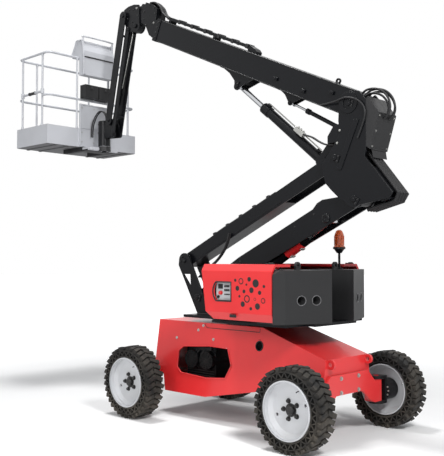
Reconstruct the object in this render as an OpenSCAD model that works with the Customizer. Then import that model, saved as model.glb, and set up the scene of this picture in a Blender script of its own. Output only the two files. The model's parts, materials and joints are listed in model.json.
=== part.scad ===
// Articulating boom lift: a wheeled chassis carries a slewing turret, a parallelogram riser,
// a telescopic main boom, a levelled parallelogram jib and a work platform.
// Drawn with +X towards the platform, +Y to the left and +Z up, in millimetres.

/* [Wheels] */
// Distance between the front and rear axles
wheel_base = 2168; // [2000:1:2400]
// Distance between the middles of the left and right tyres
track_w = 1510; // [1480:1:1600]
// Tyre diameter over the lug tips
tyre_d = 750; // [710:1:780]
// Tyre width over the lugs
tyre_w = 220; // [200:1:240]
// Height of the tread lugs
lug_h = 26; // [18:1:30]
// Number of lugs in each of the two rows
lug_count = 18; // [14:1:20]
// Length of a lug along the tread
lug_len = 42; // [34:1:46]
// Diameter of the wheel spindle
spindle_d = 76; // [60:1:90]
// Diameter of the kingpins
kingpin_d = 50; // [40:1:60]

/* [Chassis] */
// Height of the chassis deck above the ground
deck_z = 1002; // [980:1:1040]
// Width of the chassis deck
deck_w = 614; // [600:1:630]
// Outward lean of the chassis sides, in degrees
side_lean = 8; // [6:0.5:8.5]
// Reach of the chassis in front of the front axle
front_overhang = 81; // [70:1:120]
// Reach of the chassis behind the rear axle
rear_overhang = 36; // [30:1:90]
// Where the rear slope begins, behind the wheelbase centre
slope_x = 347; // [300:1:400]
// Thickness of the chassis plates
chassis_wall = 14; // [8:1:20]
// Radius of the holes in the lashing lugs
lash_r = 20; // [16:1:24]

/* [Turret] */
// Outer radius of the slewing ring
ring_r = 305; // [290:1:305]
// Height of the slewing ring
ring_h = 46; // [36:1:60]
// Height of the side covers over the base plate
cover_h = 543; // [520:1:560]
// Half width over the side covers
cover_y = 700; // [690:1:720]
// Height of the counterweights over the base plate
weight_h = 490; // [470:1:510]
// Free width between the two counterweights
weight_gap = 350; // [330:1:370]
// Reach of the counterweights behind the slewing axis
tail_r = 1090; // [1070:1:1110]

/* [Riser] */
// Riser angle above the horizontal, in degrees
riser_angle = 25.2; // [24:0.1:27]
// Pin to pin length of both riser arms
riser_len = 2254; // [2200:1:2300]
// Upper riser pin on the tower, ahead of the slewing axis
tower_pin_x = 950; // [930:1:970]
// Lower riser pin on the tower, above the base plate
tower_low_h = 178.7; // [165:0.1:195]
// Horizontal distance between the two riser pins of an end
pin_pitch_x = 210; // [200:1:220]
// Vertical distance between the two riser pins of an end
pin_pitch_z = 397; // [390:1:405]
// Diameter of the riser and boom pins
pin_d = 60; // [50:1:64]
// Width of the riser arms
arm_w = 190; // [184:1:196]
// Depth of the upper riser arm
upper_arm_h = 145; // [130:1:150]

/* [Boom] */
// Boom angle above the horizontal, in degrees
boom_angle = 24.8; // [23:0.1:26]
// Boom pivot above the lower riser pin of the link
boom_pin_z = 888; // [880:1:900]
// Boom pivot ahead of the lower riser pin of the link
boom_pin_x = 50; // [40:1:60]
// Distance from the boom pivot to the mouth of the outer boom
boom_len = 3040; // [2950:1:3100]
// Depth of the outer boom
boom_h = 250; // [240:1:254]
// Width of the outer boom
boom_w = 190; // [184:1:196]
// Plate thickness of the outer boom
boom_wall = 10; // [6:1:12]

/* [Jib] */
// Distance from the boom mouth to the levelling pin in the boom nose
nose_reach = 440; // [430:1:470]
// Jib angle below the horizontal, in degrees
jib_angle = 77.6; // [76:0.1:79]
// Pin to pin length of the jib bars
jib_len = 1300; // [1270:1:1320]
// Distance between the pins of the two jib bars
jib_pitch = 190; // [180:1:196]
// Depth of the upper jib bar
upper_bar_h = 112; // [100:1:116]
// Depth of the lower jib bar
lower_bar_h = 64; // [56:1:68]

/* [Platform] */
// Width of the platform
platform_w = 1400; // [1300:1:1500]
// Depth of the platform from rear to front
platform_l = 700; // [680:1:740]
// Top rail above the floor
rail_h = 1112; // [1100:1:1150]
// Diameter of the guard rail tubes
rail_d = 30; // [26:1:34]
// Height of the toe boards
toe_h = 200; // [150:1:220]

/* [Hidden] */
$fn = 48;

red = [0.86, 0.16, 0.16];
black_paint = [0.13, 0.13, 0.15];
grey_paint = [0.24, 0.24, 0.25];
disc_grey = [0.74, 0.75, 0.77];
pale_grey = [0.85, 0.86, 0.87];
rubber = [0.10, 0.10, 0.10];
chrome = [0.75, 0.76, 0.78];
orange = [0.95, 0.40, 0.08];

// Overrun of every cut, gap of seated pieces, gap in running fits, gap between plates, lap of joined plates
over = 20;
seat = 0.3;
run_gap = 0.05;
side_gap = 1;
lap = 4;

// Directions in the side view, places along them, and outlines from tables
function dir(a) = [cos(a), sin(a)];
function up(u) = u[0] < 0 ? [u[1], -u[0]] : [-u[1], u[0]];
function off(p, u, s, t) = p + s * u + t * up(u);
function angle_of(v) = atan2(v[1], v[0]);
function from(o, table) = [for (q = table) o + q];
function scaled(table, sx, sz) = [for (q = table) [q[0] * sx, q[1] * sz]];
function along(o, u, table) = [for (q = table) off(o, u, q[0], q[1])];

// Wheel places
axle_x = wheel_base / 2;
axle_z = tyre_d / 2;
wheel_y = track_w / 2;
kingpin_share = 0.3543;
kingpin_y = track_w * kingpin_share;
rim_share = 0.6667;
rim_d = tyre_d * rim_share;

// Heights of the slewing ring and the base plate
base_t = 28;
base_z = deck_z + ring_h + seat;
base_top = base_z + base_t;

// Pins of the riser, the boom and the jib in the side view
riser_u = [-cos(riser_angle), sin(riser_angle)];
pin_pitch = [pin_pitch_x, pin_pitch_z];
tower_pin_h = tower_low_h + pin_pitch_z;
tower_up = [tower_pin_x, base_top + tower_pin_h];
tower_low = tower_up - pin_pitch;
link_up = tower_up + riser_len * riser_u;
link_low = link_up - pin_pitch;
boom_pin = link_low + [boom_pin_x, boom_pin_z];
boom_u = dir(boom_angle);
nose_drop = 48;
nose_s = boom_len + nose_reach;
nose_pin = off(boom_pin, boom_u, nose_s, -nose_drop);
jib_u = dir(-jib_angle);
jib_ahead = 143;
jib_drop = 18;
jib_pitch_angle = 70;
jib_low = nose_pin + [jib_ahead, -jib_drop];
jib_up = jib_low + jib_pitch * dir(jib_pitch_angle);
bracket_low = jib_low + jib_len * jib_u;
bracket_up = jib_up + jib_len * jib_u;

// Plate planes of the tower and the link outside the arms
plate_t = 20;
cheek_in = 125;
cheek_y = cheek_in + plate_t / 2;
pin_head = 12;
pin_len = 2 * (cheek_in + plate_t + pin_head);
boss_len = 2 * (cheek_in - side_gap);

// Platform places
platform_ahead = 486;
floor_below = 86;
platform_rear_x = bracket_low[0] + platform_ahead;
platform_front_x = platform_rear_x + platform_l;
floor_t = 40;
floor_z = bracket_low[1] - floor_below;
rail_z = floor_z + rail_h;

// Tail of the riser link and the shift that puts the origin under the middle of the machine
tail_back = 400;
tail_rise = 40;
tail_tip = link_low + [-tail_back, tail_rise];
hose_d = 34;
origin_x = -(platform_front_x + tail_tip[0] - hose_d) / 2;

// Moves a piece from the wheelbase centre to the origin of the part
module at_origin() { translate([origin_x, 0, 0]) children(); }
// Extrudes a side-view outline to a plate across the machine
module plate_xz(y, t) { translate([0, y + t / 2, 0]) rotate([90, 0, 0]) linear_extrude(t) children(); }
// The same plate on the left and on the right
module plates_xz(y, t) { for (m = [-1, 1]) plate_xz(m * y, t) children(); }
// Extrudes an outline in the front view along the machine
module plate_yz(x, t) { translate([x, 0, 0]) rotate([90, 0, 90]) linear_extrude(t) children(); }
// Shaft across the machine through a point of the side view
module shaft_y(p, len, d) { translate([p[0], len / 2, p[1]]) rotate([90, 0, 0]) cylinder(h = len, d = d); }
// Short shafts on both sides, from an inner to an outer plane
module stubs_y(p, y0, y1, d) {
    for (m = [-1, 1]) translate([0, m * (y0 + y1) / 2, 0]) shaft_y(p, y1 - y0, d);
}
// Shaft along a side-view direction, starting at a point
module shaft_xz(p, a, len, d) { translate([p[0], 0, p[1]]) rotate([0, 90 - a, 0]) cylinder(h = len, d = d); }
// Round boss in an outline
module lobe(p, r) { translate(p) circle(r); }

// Chassis
chassis_front = axle_x + front_overhang;
chassis_rear = axle_x + rear_overhang;
belly_front_back = 122;
belly_front_x = axle_x - belly_front_back;
nose_arch_back = 74;
nose_arch_x = axle_x - nose_arch_back;
belly_x_shares = [0.161, 0.24];
belly_rear_x = wheel_base * belly_x_shares[0];
belly_rise_x = wheel_base * belly_x_shares[1];
belly_share = 0.2565;
belly_z = deck_z * belly_share;
arch_share = 0.4232;
axle_arch_z = deck_z * arch_share;
slope_share = 0.2445;
slope_drop = deck_z * slope_share;
function half_w(z) = deck_w / 2 + (deck_z - z) * tan(side_lean);
function chassis_profile(w) = [
    [chassis_front - w, deck_z - w],
    [-slope_x - w / 4, deck_z - w],
    [-chassis_rear + w, deck_z - slope_drop - w],
    [-chassis_rear + w, axle_arch_z + w],
    [-belly_rise_x, axle_arch_z + w],
    [belly_rear_x, belly_z + w],
    [belly_front_x, belly_z + w],
    [nose_arch_x, axle_arch_z + w],
    [chassis_front - w, axle_arch_z + w]
];
module chassis_block(w) {
    intersection() {
        plate_xz(0, 2 * half_w(0)) polygon(chassis_profile(w));
        plate_yz(-chassis_rear - over, chassis_front + chassis_rear + 2 * over)
            polygon([
                [-half_w(deck_z) + w, deck_z], [half_w(deck_z) - w, deck_z],
                [half_w(0) - w, 0], [-half_w(0) + w, 0]
            ]);
    }
}

// Vent in the chassis side, service hole, and lashing lugs on the rear end
vent_outline_shares = [
    [0.01, 0.599], [0.042, 0.763], [0.166, 0.768], [0.341, 0.739], [0.372, 0.689], [0.372, 0.519],
    [0.341, 0.464], [0.166, 0.444], [0.042, 0.469]
];
vent_outline = scaled(vent_outline_shares, wheel_base, deck_z);
service_hole_shares = [-0.149, 0.821];
service_hole = [wheel_base * service_hole_shares[0], deck_z * service_hole_shares[1]];
service_hole_r = 45;
lash_drop_share = 0.2844;
lash_drop = deck_z * lash_drop_share;
lash_back = 30;
lash_pos = [-chassis_rear - lash_back, deck_z - lash_drop];
lash_y_share = 0.487;
lash_y = deck_w * lash_y_share;
lash_t = 26;
lash_out = 45;
module chassis_frame() {
    color(red) at_origin() {
        difference() {
            union() {
                difference() {
                    chassis_block(0);
                    chassis_block(chassis_wall);
                }
                plates_xz(lash_y, lash_t) {
                    lobe(lash_pos, lash_out);
                    translate(lash_pos + [0, -lash_out + lap]) square([lash_back + lap, 2 * lash_out - 2 * lap]);
                }
            }
            plate_xz(0, 2 * half_w(0)) polygon(vent_outline);
            shaft_y(service_hole, 2 * half_w(0), 2 * service_hole_r);
            shaft_y(lash_pos, 2 * half_w(0), 2 * lash_r);
        }
    }
}

// Drive seen through the vents, resting on the belly plate
drive_x_shares = [0.162, 0.36];
drive_x = wheel_base * drive_x_shares;
drive_half_share = 0.407;
drive_half_w = deck_w * drive_half_share;
drive_top_share = 0.7984;
drive_top_z = deck_z * drive_top_share;
drive_chamfer = 24;
drive_fan_x_shares = [0.203, 0.304];
drive_fan_x = wheel_base * drive_fan_x_shares;
drive_fan_z_share = 0.6088;
drive_fan_z = deck_z * drive_fan_z_share;
drive_fan_r = 95;
drive_fan_t_share = 0.0912;
drive_fan_t = deck_w * drive_fan_t_share;
module power_unit() {
    low = belly_z + chassis_wall + seat;
    color(black_paint) at_origin() {
        plate_xz(0, 2 * drive_half_w)
            polygon([
                [drive_x[0], low], [drive_x[1], low], [drive_x[1], drive_top_z - drive_chamfer],
                [drive_x[1] - drive_chamfer, drive_top_z], [drive_x[0] + drive_chamfer, drive_top_z],
                [drive_x[0], drive_top_z - drive_chamfer]
            ]);
        for (x = drive_fan_x) shaft_y([x, drive_fan_z], 2 * (drive_half_w + drive_fan_t), 2 * drive_fan_r);
    }
}

// Axles: an end plate on the chassis with an arm to each kingpin
arm_drop = 88;
arm_rise = 122;
arm_low_z = axle_z - arm_drop;
arm_top_z = axle_z + arm_rise;
arm_half_x = 50;
boss_r = 42;
axle_plate_t = 27;
axle_plate_share = 0.1856;
axle_plate_h = deck_z * axle_plate_share;
arm_bend_y_shares = [0.402, 0.561, 0.617, 0.785];
arm_bend_y = kingpin_y * arm_bend_y_shares;
arm_bend_z = 40;
knuckle_lug_t = 28;
kingpin_end = 4;
module axle_outline() {
    top = axle_arch_z + axle_plate_h;
    for (m = [-1, 1])
        polygon([
            [0, axle_arch_z], [m * arm_bend_y[0], axle_arch_z], [m * arm_bend_y[2], arm_low_z + arm_bend_z],
            [m * arm_bend_y[3], arm_low_z], [m * kingpin_y, arm_low_z], [m * kingpin_y, arm_top_z],
            [m * arm_bend_y[3], arm_top_z], [m * arm_bend_y[1], top], [0, top]
        ]);
}
// An axle drawn for the rear, its end plate on a chassis end that stands a given way out
module axle(end) {
    end_x = -end - axle_plate_t;
    arm_len = end + axle_plate_t - axle_x + arm_half_x;
    arm_in = half_w(arm_low_z) + side_gap;
    pin_low = arm_low_z - knuckle_lug_t - kingpin_end;
    plate_yz(end_x, axle_plate_t - seat) axle_outline();
    for (m = [-1, 1]) {
        intersection() {
            plate_yz(end_x, arm_len) axle_outline();
            translate([end_x, m > 0 ? arm_in : -kingpin_y, 0]) cube([arm_len, kingpin_y - arm_in, deck_z]);
        }
        translate([-axle_x, m * kingpin_y, arm_low_z]) cylinder(h = arm_top_z - arm_low_z, r = boss_r);
        translate([-axle_x, m * kingpin_y, pin_low])
            cylinder(h = arm_top_z + knuckle_lug_t + kingpin_end - pin_low, d = kingpin_d);
    }
}
module rear_axle() { color(red) at_origin() axle(chassis_rear); }
module front_axle() { color(red) at_origin() mirror([1, 0, 0]) axle(chassis_front); }

// Steering knuckle with its hub motor, drawn for the left side at the wheel's own place
knuckle_plate_in = 55;
knuckle_plate_t = 25;
knuckle_half_x = 75;
motor_r = 105;
disc_offset = 23;
disc_t = 14;
hub_out = 22;
motor_gap = 8;
disc_in_y = wheel_y + disc_offset;
module knuckle() {
    plate_y = kingpin_y + knuckle_plate_in;
    motor_y = plate_y + knuckle_plate_t - lap;
    low = arm_low_z - knuckle_lug_t - side_gap;
    high = arm_top_z + side_gap;
    difference() {
        union() {
            translate([-knuckle_half_x, plate_y, low])
                cube([2 * knuckle_half_x, knuckle_plate_t, high + knuckle_lug_t - low]);
            for (z = [low, high]) {
                translate([0, kingpin_y, z]) cylinder(h = knuckle_lug_t, r = knuckle_half_x);
                translate([-knuckle_half_x, kingpin_y, z])
                    cube([2 * knuckle_half_x, knuckle_plate_in + knuckle_plate_t, knuckle_lug_t]);
            }
            translate([0, motor_y, axle_z]) rotate([-90, 0, 0])
                cylinder(h = disc_in_y - motor_gap - motor_y, r = motor_r);
            translate([0, plate_y, axle_z]) rotate([-90, 0, 0])
                cylinder(h = disc_in_y + disc_t + hub_out - plate_y, d = spindle_d);
        }
        translate([0, kingpin_y, low - over])
            cylinder(h = high + knuckle_lug_t - low + 2 * over, d = kingpin_d + 2 * run_gap);
    }
}

// Wheel: a rim barrel with a ring at its outer edge and a recessed disc with its stud holes
rim_wall = 10;
rim_in_share = 0.4545;
rim_in = tyre_w * rim_in_share;
rim_out_share = 0.5136;
rim_out = tyre_w * rim_out_share;
rim_in_y = wheel_y - rim_in;
rim_out_y = wheel_y + rim_out;
ring_lip = 8;
ring_t = 12;
disc_dish_shares = [0.12, 0.06];
disc_dish = rim_d * disc_dish_shares;
disc_rise_shares = [0.1, 0.08];
disc_rise = rim_d * disc_rise_shares;
stud_count = 5;
stud_pcd = 160;
stud_r = 14;
vent_hole_r = 14;
vent_hole_pcd = 330;
vent_hole_turn = 20;
module wheel() {
    rim_r = rim_d / 2;
    bore_r = spindle_d / 2 + run_gap;
    translate([0, 0, axle_z]) rotate([-90, 0, 0]) {
        difference() {
            rotate_extrude() polygon([
                [bore_r, disc_in_y], [rim_r - disc_dish[0], disc_in_y],
                [rim_r - rim_wall, disc_in_y - disc_dish[1]],
                [rim_r - rim_wall, rim_in_y], [rim_r, rim_in_y], [rim_r, rim_out_y - ring_t],
                [rim_r + ring_lip, rim_out_y - ring_t], [rim_r + ring_lip, rim_out_y],
                [rim_r - rim_wall, rim_out_y],
                [rim_r - rim_wall, disc_in_y + disc_rise[1]], [rim_r - disc_rise[0], disc_in_y + disc_t],
                [bore_r, disc_in_y + disc_t]
            ]);
            for (i = [0:stud_count - 1])
                rotate([0, 0, i * 360 / stud_count]) translate([stud_pcd / 2, 0, disc_in_y - over])
                    cylinder(h = disc_t + 2 * over, r = stud_r);
            for (i = [0, 1])
                rotate([0, 0, vent_hole_turn + i * 180]) translate([vent_hole_pcd / 2, 0, disc_in_y - over])
                    cylinder(h = disc_t + 2 * over, r = vent_hole_r);
        }
    }
}

// Tyre: a rounded carcass with two rows of slanted lugs cut to the tread circle
tyre_gap = 0.2;
lug_slant = 24;
lug_w_share = 0.56;
lug_root = 26;
shoulder = 34;
wall_in = 6;
module tyre() {
    base_r = tyre_d / 2 - lug_h;
    inner_r = rim_d / 2 + tyre_gap;
    hw = tyre_w / 2;
    lug_w = tyre_w * lug_w_share;
    bead_y = rim_out - ring_t - side_gap;
    translate([0, wheel_y, axle_z]) rotate([-90, 0, 0]) {
        rotate_extrude() polygon([
            [inner_r, -hw + shoulder], [inner_r + shoulder, -hw + wall_in], [base_r - shoulder, -hw + wall_in],
            [base_r, -hw + shoulder], [base_r, hw - shoulder], [base_r - shoulder, hw - wall_in],
            [inner_r + shoulder, hw - wall_in], [inner_r + ring_lip, bead_y], [inner_r, bead_y]
        ]);
        intersection() {
            translate([0, 0, -tyre_w]) cylinder(h = 2 * tyre_w, r = tyre_d / 2);
            for (side = [-1, 1], i = [0:lug_count - 1])
                rotate([0, 0, 90 + (i + (side > 0 ? 0 : 0.5)) * 360 / lug_count])
                    translate([base_r - lug_root, 0, side * (hw - lug_w / 2)]) rotate([side * lug_slant, 0, 0])
                        translate([0, -lug_len / 2, -lug_w / 2])
                            cube([lug_root + lug_h + over, lug_len, lug_w * cos(lug_slant)]);
        }
    }
}

// Puts a left-hand piece at one of the four wheels
module at_wheel(front, left) {
    at_origin() translate([front * axle_x, 0, 0]) mirror([0, left > 0 ? 0 : 1, 0]) children();
}
module knuckle_front_left() { color(black_paint) at_wheel(1, 1) knuckle(); }
module knuckle_front_right() { color(black_paint) at_wheel(1, -1) knuckle(); }
module knuckle_rear_left() { color(black_paint) at_wheel(-1, 1) knuckle(); }
module knuckle_rear_right() { color(black_paint) at_wheel(-1, -1) knuckle(); }
module wheel_front_left() { color(disc_grey) at_wheel(1, 1) wheel(); }
module wheel_front_right() { color(disc_grey) at_wheel(1, -1) wheel(); }
module wheel_rear_left() { color(disc_grey) at_wheel(-1, 1) wheel(); }
module wheel_rear_right() { color(disc_grey) at_wheel(-1, -1) wheel(); }
module tyre_front_left() { color(rubber) at_wheel(1, 1) tyre(); }
module tyre_front_right() { color(rubber) at_wheel(1, -1) tyre(); }
module tyre_rear_left() { color(rubber) at_wheel(-1, 1) tyre(); }
module tyre_rear_right() { color(rubber) at_wheel(-1, -1) tyre(); }

// Slewing ring with its outer teeth, fixed on the deck
ring_teeth = 72;
tooth_h = 9;
ring_bore_r = 200;
module slewing_ring() {
    color(grey_paint) at_origin() translate([0, 0, deck_z]) difference() {
        linear_extrude(ring_h)
            polygon([for (i = [0:ring_teeth - 1], k = [0:3])
                (ring_r - (k == 0 || k == 3 ? tooth_h : 0)) * dir((i + k / 4) * 360 / ring_teeth)]);
        translate([0, 0, -over]) cylinder(h = ring_h + 2 * over, r = ring_bore_r);
    }
}

// Turret: base plate, leaning tower plates with the riser pins, cylinder ears and cover hinge posts
base_x_shares = [-0.917, 0.8];
base_x = [tail_r * base_x_shares[0], tower_pin_x * base_x_shares[1]];
base_half_w = 330;
wing_x_shares = [-0.807, 0.046];
wing_x = tail_r * wing_x_shares;
wing_half_share = 0.8714;
wing_half_w = cover_y * wing_half_share;
hinge_x = 20;
hinge_y_share = 0.5786;
hinge_y = cover_y * hinge_y_share;
hinge_d = 30;
hinge_h_share = 0.92;
hinge_h = cover_h * hinge_h_share;
ear_in = 58;
ear_t = 13;
riser_base_back = 290;
riser_base_drop = 35;
riser_base = tower_low - [riser_base_back, riser_base_drop];
riser_pin_d = 50;
ear_r = 46;
tower_boss_r = 82;
tower_sides_shares = [[-0.125, 0.087], [0.135, 0.052], [0.153, -0.087], [-0.347, -0.938]];
tower_sides = tower_pin_h * tower_sides_shares;
tower_foot_shares = [0.568, 0.774];
tower_foot = tower_pin_x * tower_foot_shares;
tower_window_shares = [[-0.174, -0.261], [0.017, -0.261], [-0.191, -0.504]];
tower_window = tower_pin_h * tower_window_shares;
module tower_outline() {
    difference() {
        union() {
            polygon([
                tower_up + tower_sides[0], tower_up + tower_sides[1], tower_up + tower_sides[2],
                [tower_foot[1], base_top - lap], [tower_foot[0], base_top - lap]
            ]);
            lobe(tower_up, tower_boss_r);
            lobe(tower_low, tower_boss_r);
        }
        polygon(from(tower_up, tower_window));
    }
}
module turret_frame() {
    color(black_paint) at_origin() {
        translate([base_x[0], -base_half_w, base_z]) cube([base_x[1] - base_x[0], 2 * base_half_w, base_t]);
        translate([wing_x[0], -wing_half_w, base_z]) cube([wing_x[1] - wing_x[0], 2 * wing_half_w, base_t]);
        for (m = [-1, 1]) translate([hinge_x, m * hinge_y, base_z]) cylinder(h = base_t + hinge_h, d = hinge_d);
        plates_xz(cheek_y, plate_t) tower_outline();
        shaft_y(tower_up, pin_len, pin_d);
        shaft_y(tower_low, pin_len, pin_d);
        plates_xz(ear_in + ear_t / 2, ear_t) {
            lobe(riser_base, ear_r);
            translate([riser_base[0] - ear_r + lap, base_top - lap])
                square([2 * ear_r - 2 * lap, riser_base[1] - base_top + lap]);
        }
        shaft_y(riser_base, 2 * (ear_in + ear_t), riser_pin_d);
    }
}

// Counterweights: cast blocks whose rear faces follow the tail swing, with pockets and a lifting eye
weight_top_z = base_top + weight_h;
weight_front_share = 0.514;
weight_front_x = tail_r * weight_front_share;
weight_corner_shares = [0.817, 0.904];
weight_corner = [tail_r * weight_corner_shares[0], cover_y * weight_corner_shares[1]];
weight_side_share = 0.734;
weight_side_x = tail_r * weight_side_share;
weight_inset = 60;
weight_step = 3;
weight_bevel = 60;
weight_hole_r = 42;
weight_hole_depth = 60;
weight_hole_shares = [0.34, 0.66];
weight_hole_low = 30;
eye_r = 16;
eye_out = 38;
eye_t = 24;
eye_pos_shares = [-0.706, 0.429];
eye_pos = [tail_r * eye_pos_shares[0], cover_y * eye_pos_shares[1]];
weight_in = weight_gap / 2;
module counterweight() {
    low = base_top + seat;
    eye = [eye_pos[1], weight_top_z + eye_out];
    difference() {
        union() {
            translate([0, 0, low]) linear_extrude(weight_top_z - low) polygon([
                [-sqrt(tail_r * tail_r - weight_in * weight_in), weight_in], [-weight_corner[0], weight_corner[1]],
                [-weight_side_x, cover_y], [-weight_side_x + weight_step, cover_y - weight_inset],
                [-weight_front_x, cover_y - weight_inset], [-weight_front_x, weight_in]
            ]);
            plate_yz(eye_pos[0] - eye_t / 2, eye_t) {
                lobe(eye, eye_out);
                translate(eye + [-eye_out + lap, -eye_out - lap]) square([2 * eye_out - 2 * lap, eye_out + lap]);
            }
        }
        translate([-weight_side_x, cover_y, weight_top_z]) rotate([45, 0, 0])
            cube([weight_side_x, weight_bevel, weight_bevel], center = true);
        translate([eye_pos[0] - eye_t, eye[0], eye[1]]) rotate([0, 90, 0]) cylinder(h = 2 * eye_t, r = eye_r);
        for (s = weight_hole_shares)
            translate([
                -tail_r * (1 - s) - weight_corner[0] * s - weight_hole_depth / 2,
                weight_in * (1 - s) + weight_corner[1] * s, (low + weight_top_z) / 2 - weight_hole_low
            ]) rotate([0, 90, 0]) cylinder(h = 2 * weight_hole_depth, r = weight_hole_r);
    }
}
module counterweight_left() { color(grey_paint) at_origin() counterweight(); }
module counterweight_right() { color(grey_paint) at_origin() mirror([0, 1, 0]) counterweight(); }

// Side covers: hinged shells with bevelled edges, a leaning front wall and a top flange
cover_t = 26;
cover_front_x = 115;
cover_foot = 14;
cover_low_z = base_top + cover_foot;
cover_top_z = base_top + cover_h;
cover_in_share = 0.6143;
cover_in_y = cover_y * cover_in_share;
cover_rear_share = 0.725;
cover_rear_x = tail_r * cover_rear_share;
cover_lean = 64;
cover_toe_shares = [0.25, 0.136];
cover_toe = cover_h * cover_toe_shares;
cover_shoulder_shares = [0.085, 0.114];
cover_shoulder = cover_h * cover_shoulder_shares;
cover_bevel_shares = [0.074, 0.133];
cover_bevel = cover_h * cover_bevel_shares;
bevel_thin = 10;
window_x_shares = [-0.266, -0.047];
window_x = tail_r * window_x_shares;
window_h_shares = [0.355, 0.691];
window_h = cover_h * window_h_shares;
lug_ring = 14;
lug_thick = 24;
hinge_lug_h_shares = [0.192, 0.762];
hinge_lug_h = cover_h * hinge_lug_h_shares;
function cover_front_at(h) = cover_front_x - cover_lean * (cover_h - h) / (cover_h - cover_toe[1]);
module cover_outline(w) {
    polygon([
        [cover_front_x - w, cover_top_z], [-cover_rear_x, cover_top_z], [-cover_rear_x, cover_low_z],
        [cover_front_x - cover_toe[0] - w, cover_low_z],
        [cover_front_x - cover_lean - w, cover_low_z + cover_toe[1]]
    ]);
}
// Cross-section of the shell, drawn at a depth under its outer face
module cover_section(w, thin) {
    polygon([
        [cover_in_y - w, cover_top_z - w], [cover_y - cover_shoulder[0] - thin, cover_top_z - w],
        [cover_y - w, cover_top_z - cover_shoulder[1] - thin], [cover_y - w, cover_low_z + cover_bevel[1] + thin],
        [cover_y - cover_bevel[0] - w, cover_low_z - w], [cover_in_y - w, cover_low_z - w]
    ]);
}
module cover(window) {
    mid_y = (cover_y + cover_in_y) / 2;
    difference() {
        union() {
            difference() {
                intersection() {
                    plate_xz(mid_y, cover_y - cover_in_y) cover_outline(0);
                    plate_yz(-cover_rear_x, cover_rear_x + cover_front_x) cover_section(0, 0);
                }
                intersection() {
                    plate_xz(mid_y, cover_y) {
                        cover_outline(cover_t);
                        translate([-cover_rear_x - over, cover_low_z - over])
                            square([cover_rear_x - cover_toe[0], cover_h + over]);
                    }
                    plate_yz(-cover_rear_x - over, cover_rear_x + cover_front_x + 2 * over)
                        cover_section(cover_t, bevel_thin);
                }
            }
            for (h = hinge_lug_h)
                translate([0, 0, base_top + h]) linear_extrude(lug_thick) hull() {
                    lobe([hinge_x, hinge_y], hinge_d / 2 + lug_ring);
                    translate([cover_front_at(h) - cover_t, cover_in_y]) square([cover_t / 2, lug_thick]);
                }
        }
        translate([hinge_x, hinge_y, cover_low_z]) cylinder(h = cover_h, d = hinge_d + 2 * run_gap);
        if (window)
            plate_xz(cover_y, 2 * cover_t + 2 * over) {
                translate([window_x[0], base_top + window_h[0]])
                    square([(window_x[1] - window_x[0]) / 2, window_h[1] - window_h[0]]);
                intersection() {
                    translate([(window_x[0] + window_x[1]) / 2, base_top + (window_h[0] + window_h[1]) / 2])
                        circle((window_x[1] - window_x[0]) / 2);
                    translate([window_x[0], base_top + window_h[0]])
                        square([window_x[1] - window_x[0], window_h[1] - window_h[0]]);
                }
            }
    }
}
module cover_left() { color(red) at_origin() cover(true); }
module cover_right() { color(red) at_origin() mirror([0, 1, 0]) cover(false); }

// Tanks under the covers and the ground control box behind the window
tank_x_shares = [-0.477, -0.055];
tank_x = tail_r * tank_x_shares;
tank_y_shares = [0.286, 0.857];
tank_y = cover_y * tank_y_shares;
tank_h_share = 0.891;
tank_h = cover_h * tank_h_share;
controls_t_share = 0.0857;
controls_t = cover_y * controls_t_share;
controls_rim = 20;
module tank() {
    translate([tank_x[0], tank_y[0], base_top + seat])
        cube([tank_x[1] - tank_x[0], tank_y[1] - tank_y[0], tank_h - seat]);
}
module tank_left() { color(black_paint) at_origin() tank(); }
module tank_right() { color(black_paint) at_origin() mirror([0, 1, 0]) tank(); }
module ground_controls() {
    color(grey_paint) at_origin()
        translate([window_x[0] - controls_rim, tank_y[1] + seat, base_top + window_h[0] - controls_rim])
            cube([
                window_x[1] - window_x[0] + 2 * controls_rim, controls_t,
                window_h[1] - window_h[0] + 2 * controls_rim
            ]);
}

// Beacon on a post on the right counterweight
beacon_pos_shares = [-0.706, -0.536];
beacon_pos = [tail_r * beacon_pos_shares[0], cover_y * beacon_pos_shares[1]];
beacon_post_d = 24;
beacon_foot_d = 72;
beacon_foot_t = 12;
beacon_post_h = 201;
beacon_cone_h = 40;
beacon_r = 52;
beacon_h = 194;
beacon_lens_outline_shares = [
    [0, 0], [0.299, 0], [0.299, 0.124], [0.258, 0.186], [0.237, 0.773], [0.165, 0.938], [0.082, 1],
    [0, 1]
];
beacon_lens_outline = beacon_h * beacon_lens_outline_shares;
module beacon_post() {
    color(black_paint) at_origin() translate([beacon_pos[0], beacon_pos[1], weight_top_z + seat]) {
        cylinder(h = beacon_post_h, d = beacon_post_d);
        translate([0, 0, beacon_post_h - beacon_cone_h])
            cylinder(h = beacon_cone_h, r1 = beacon_post_d, r2 = beacon_r);
        cylinder(h = beacon_foot_t, d = beacon_foot_d);
    }
}
module beacon_lens() {
    color(orange) at_origin() translate([beacon_pos[0], beacon_pos[1], weight_top_z + beacon_post_h + 2 * seat])
        rotate_extrude() polygon(beacon_lens_outline);
}

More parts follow.
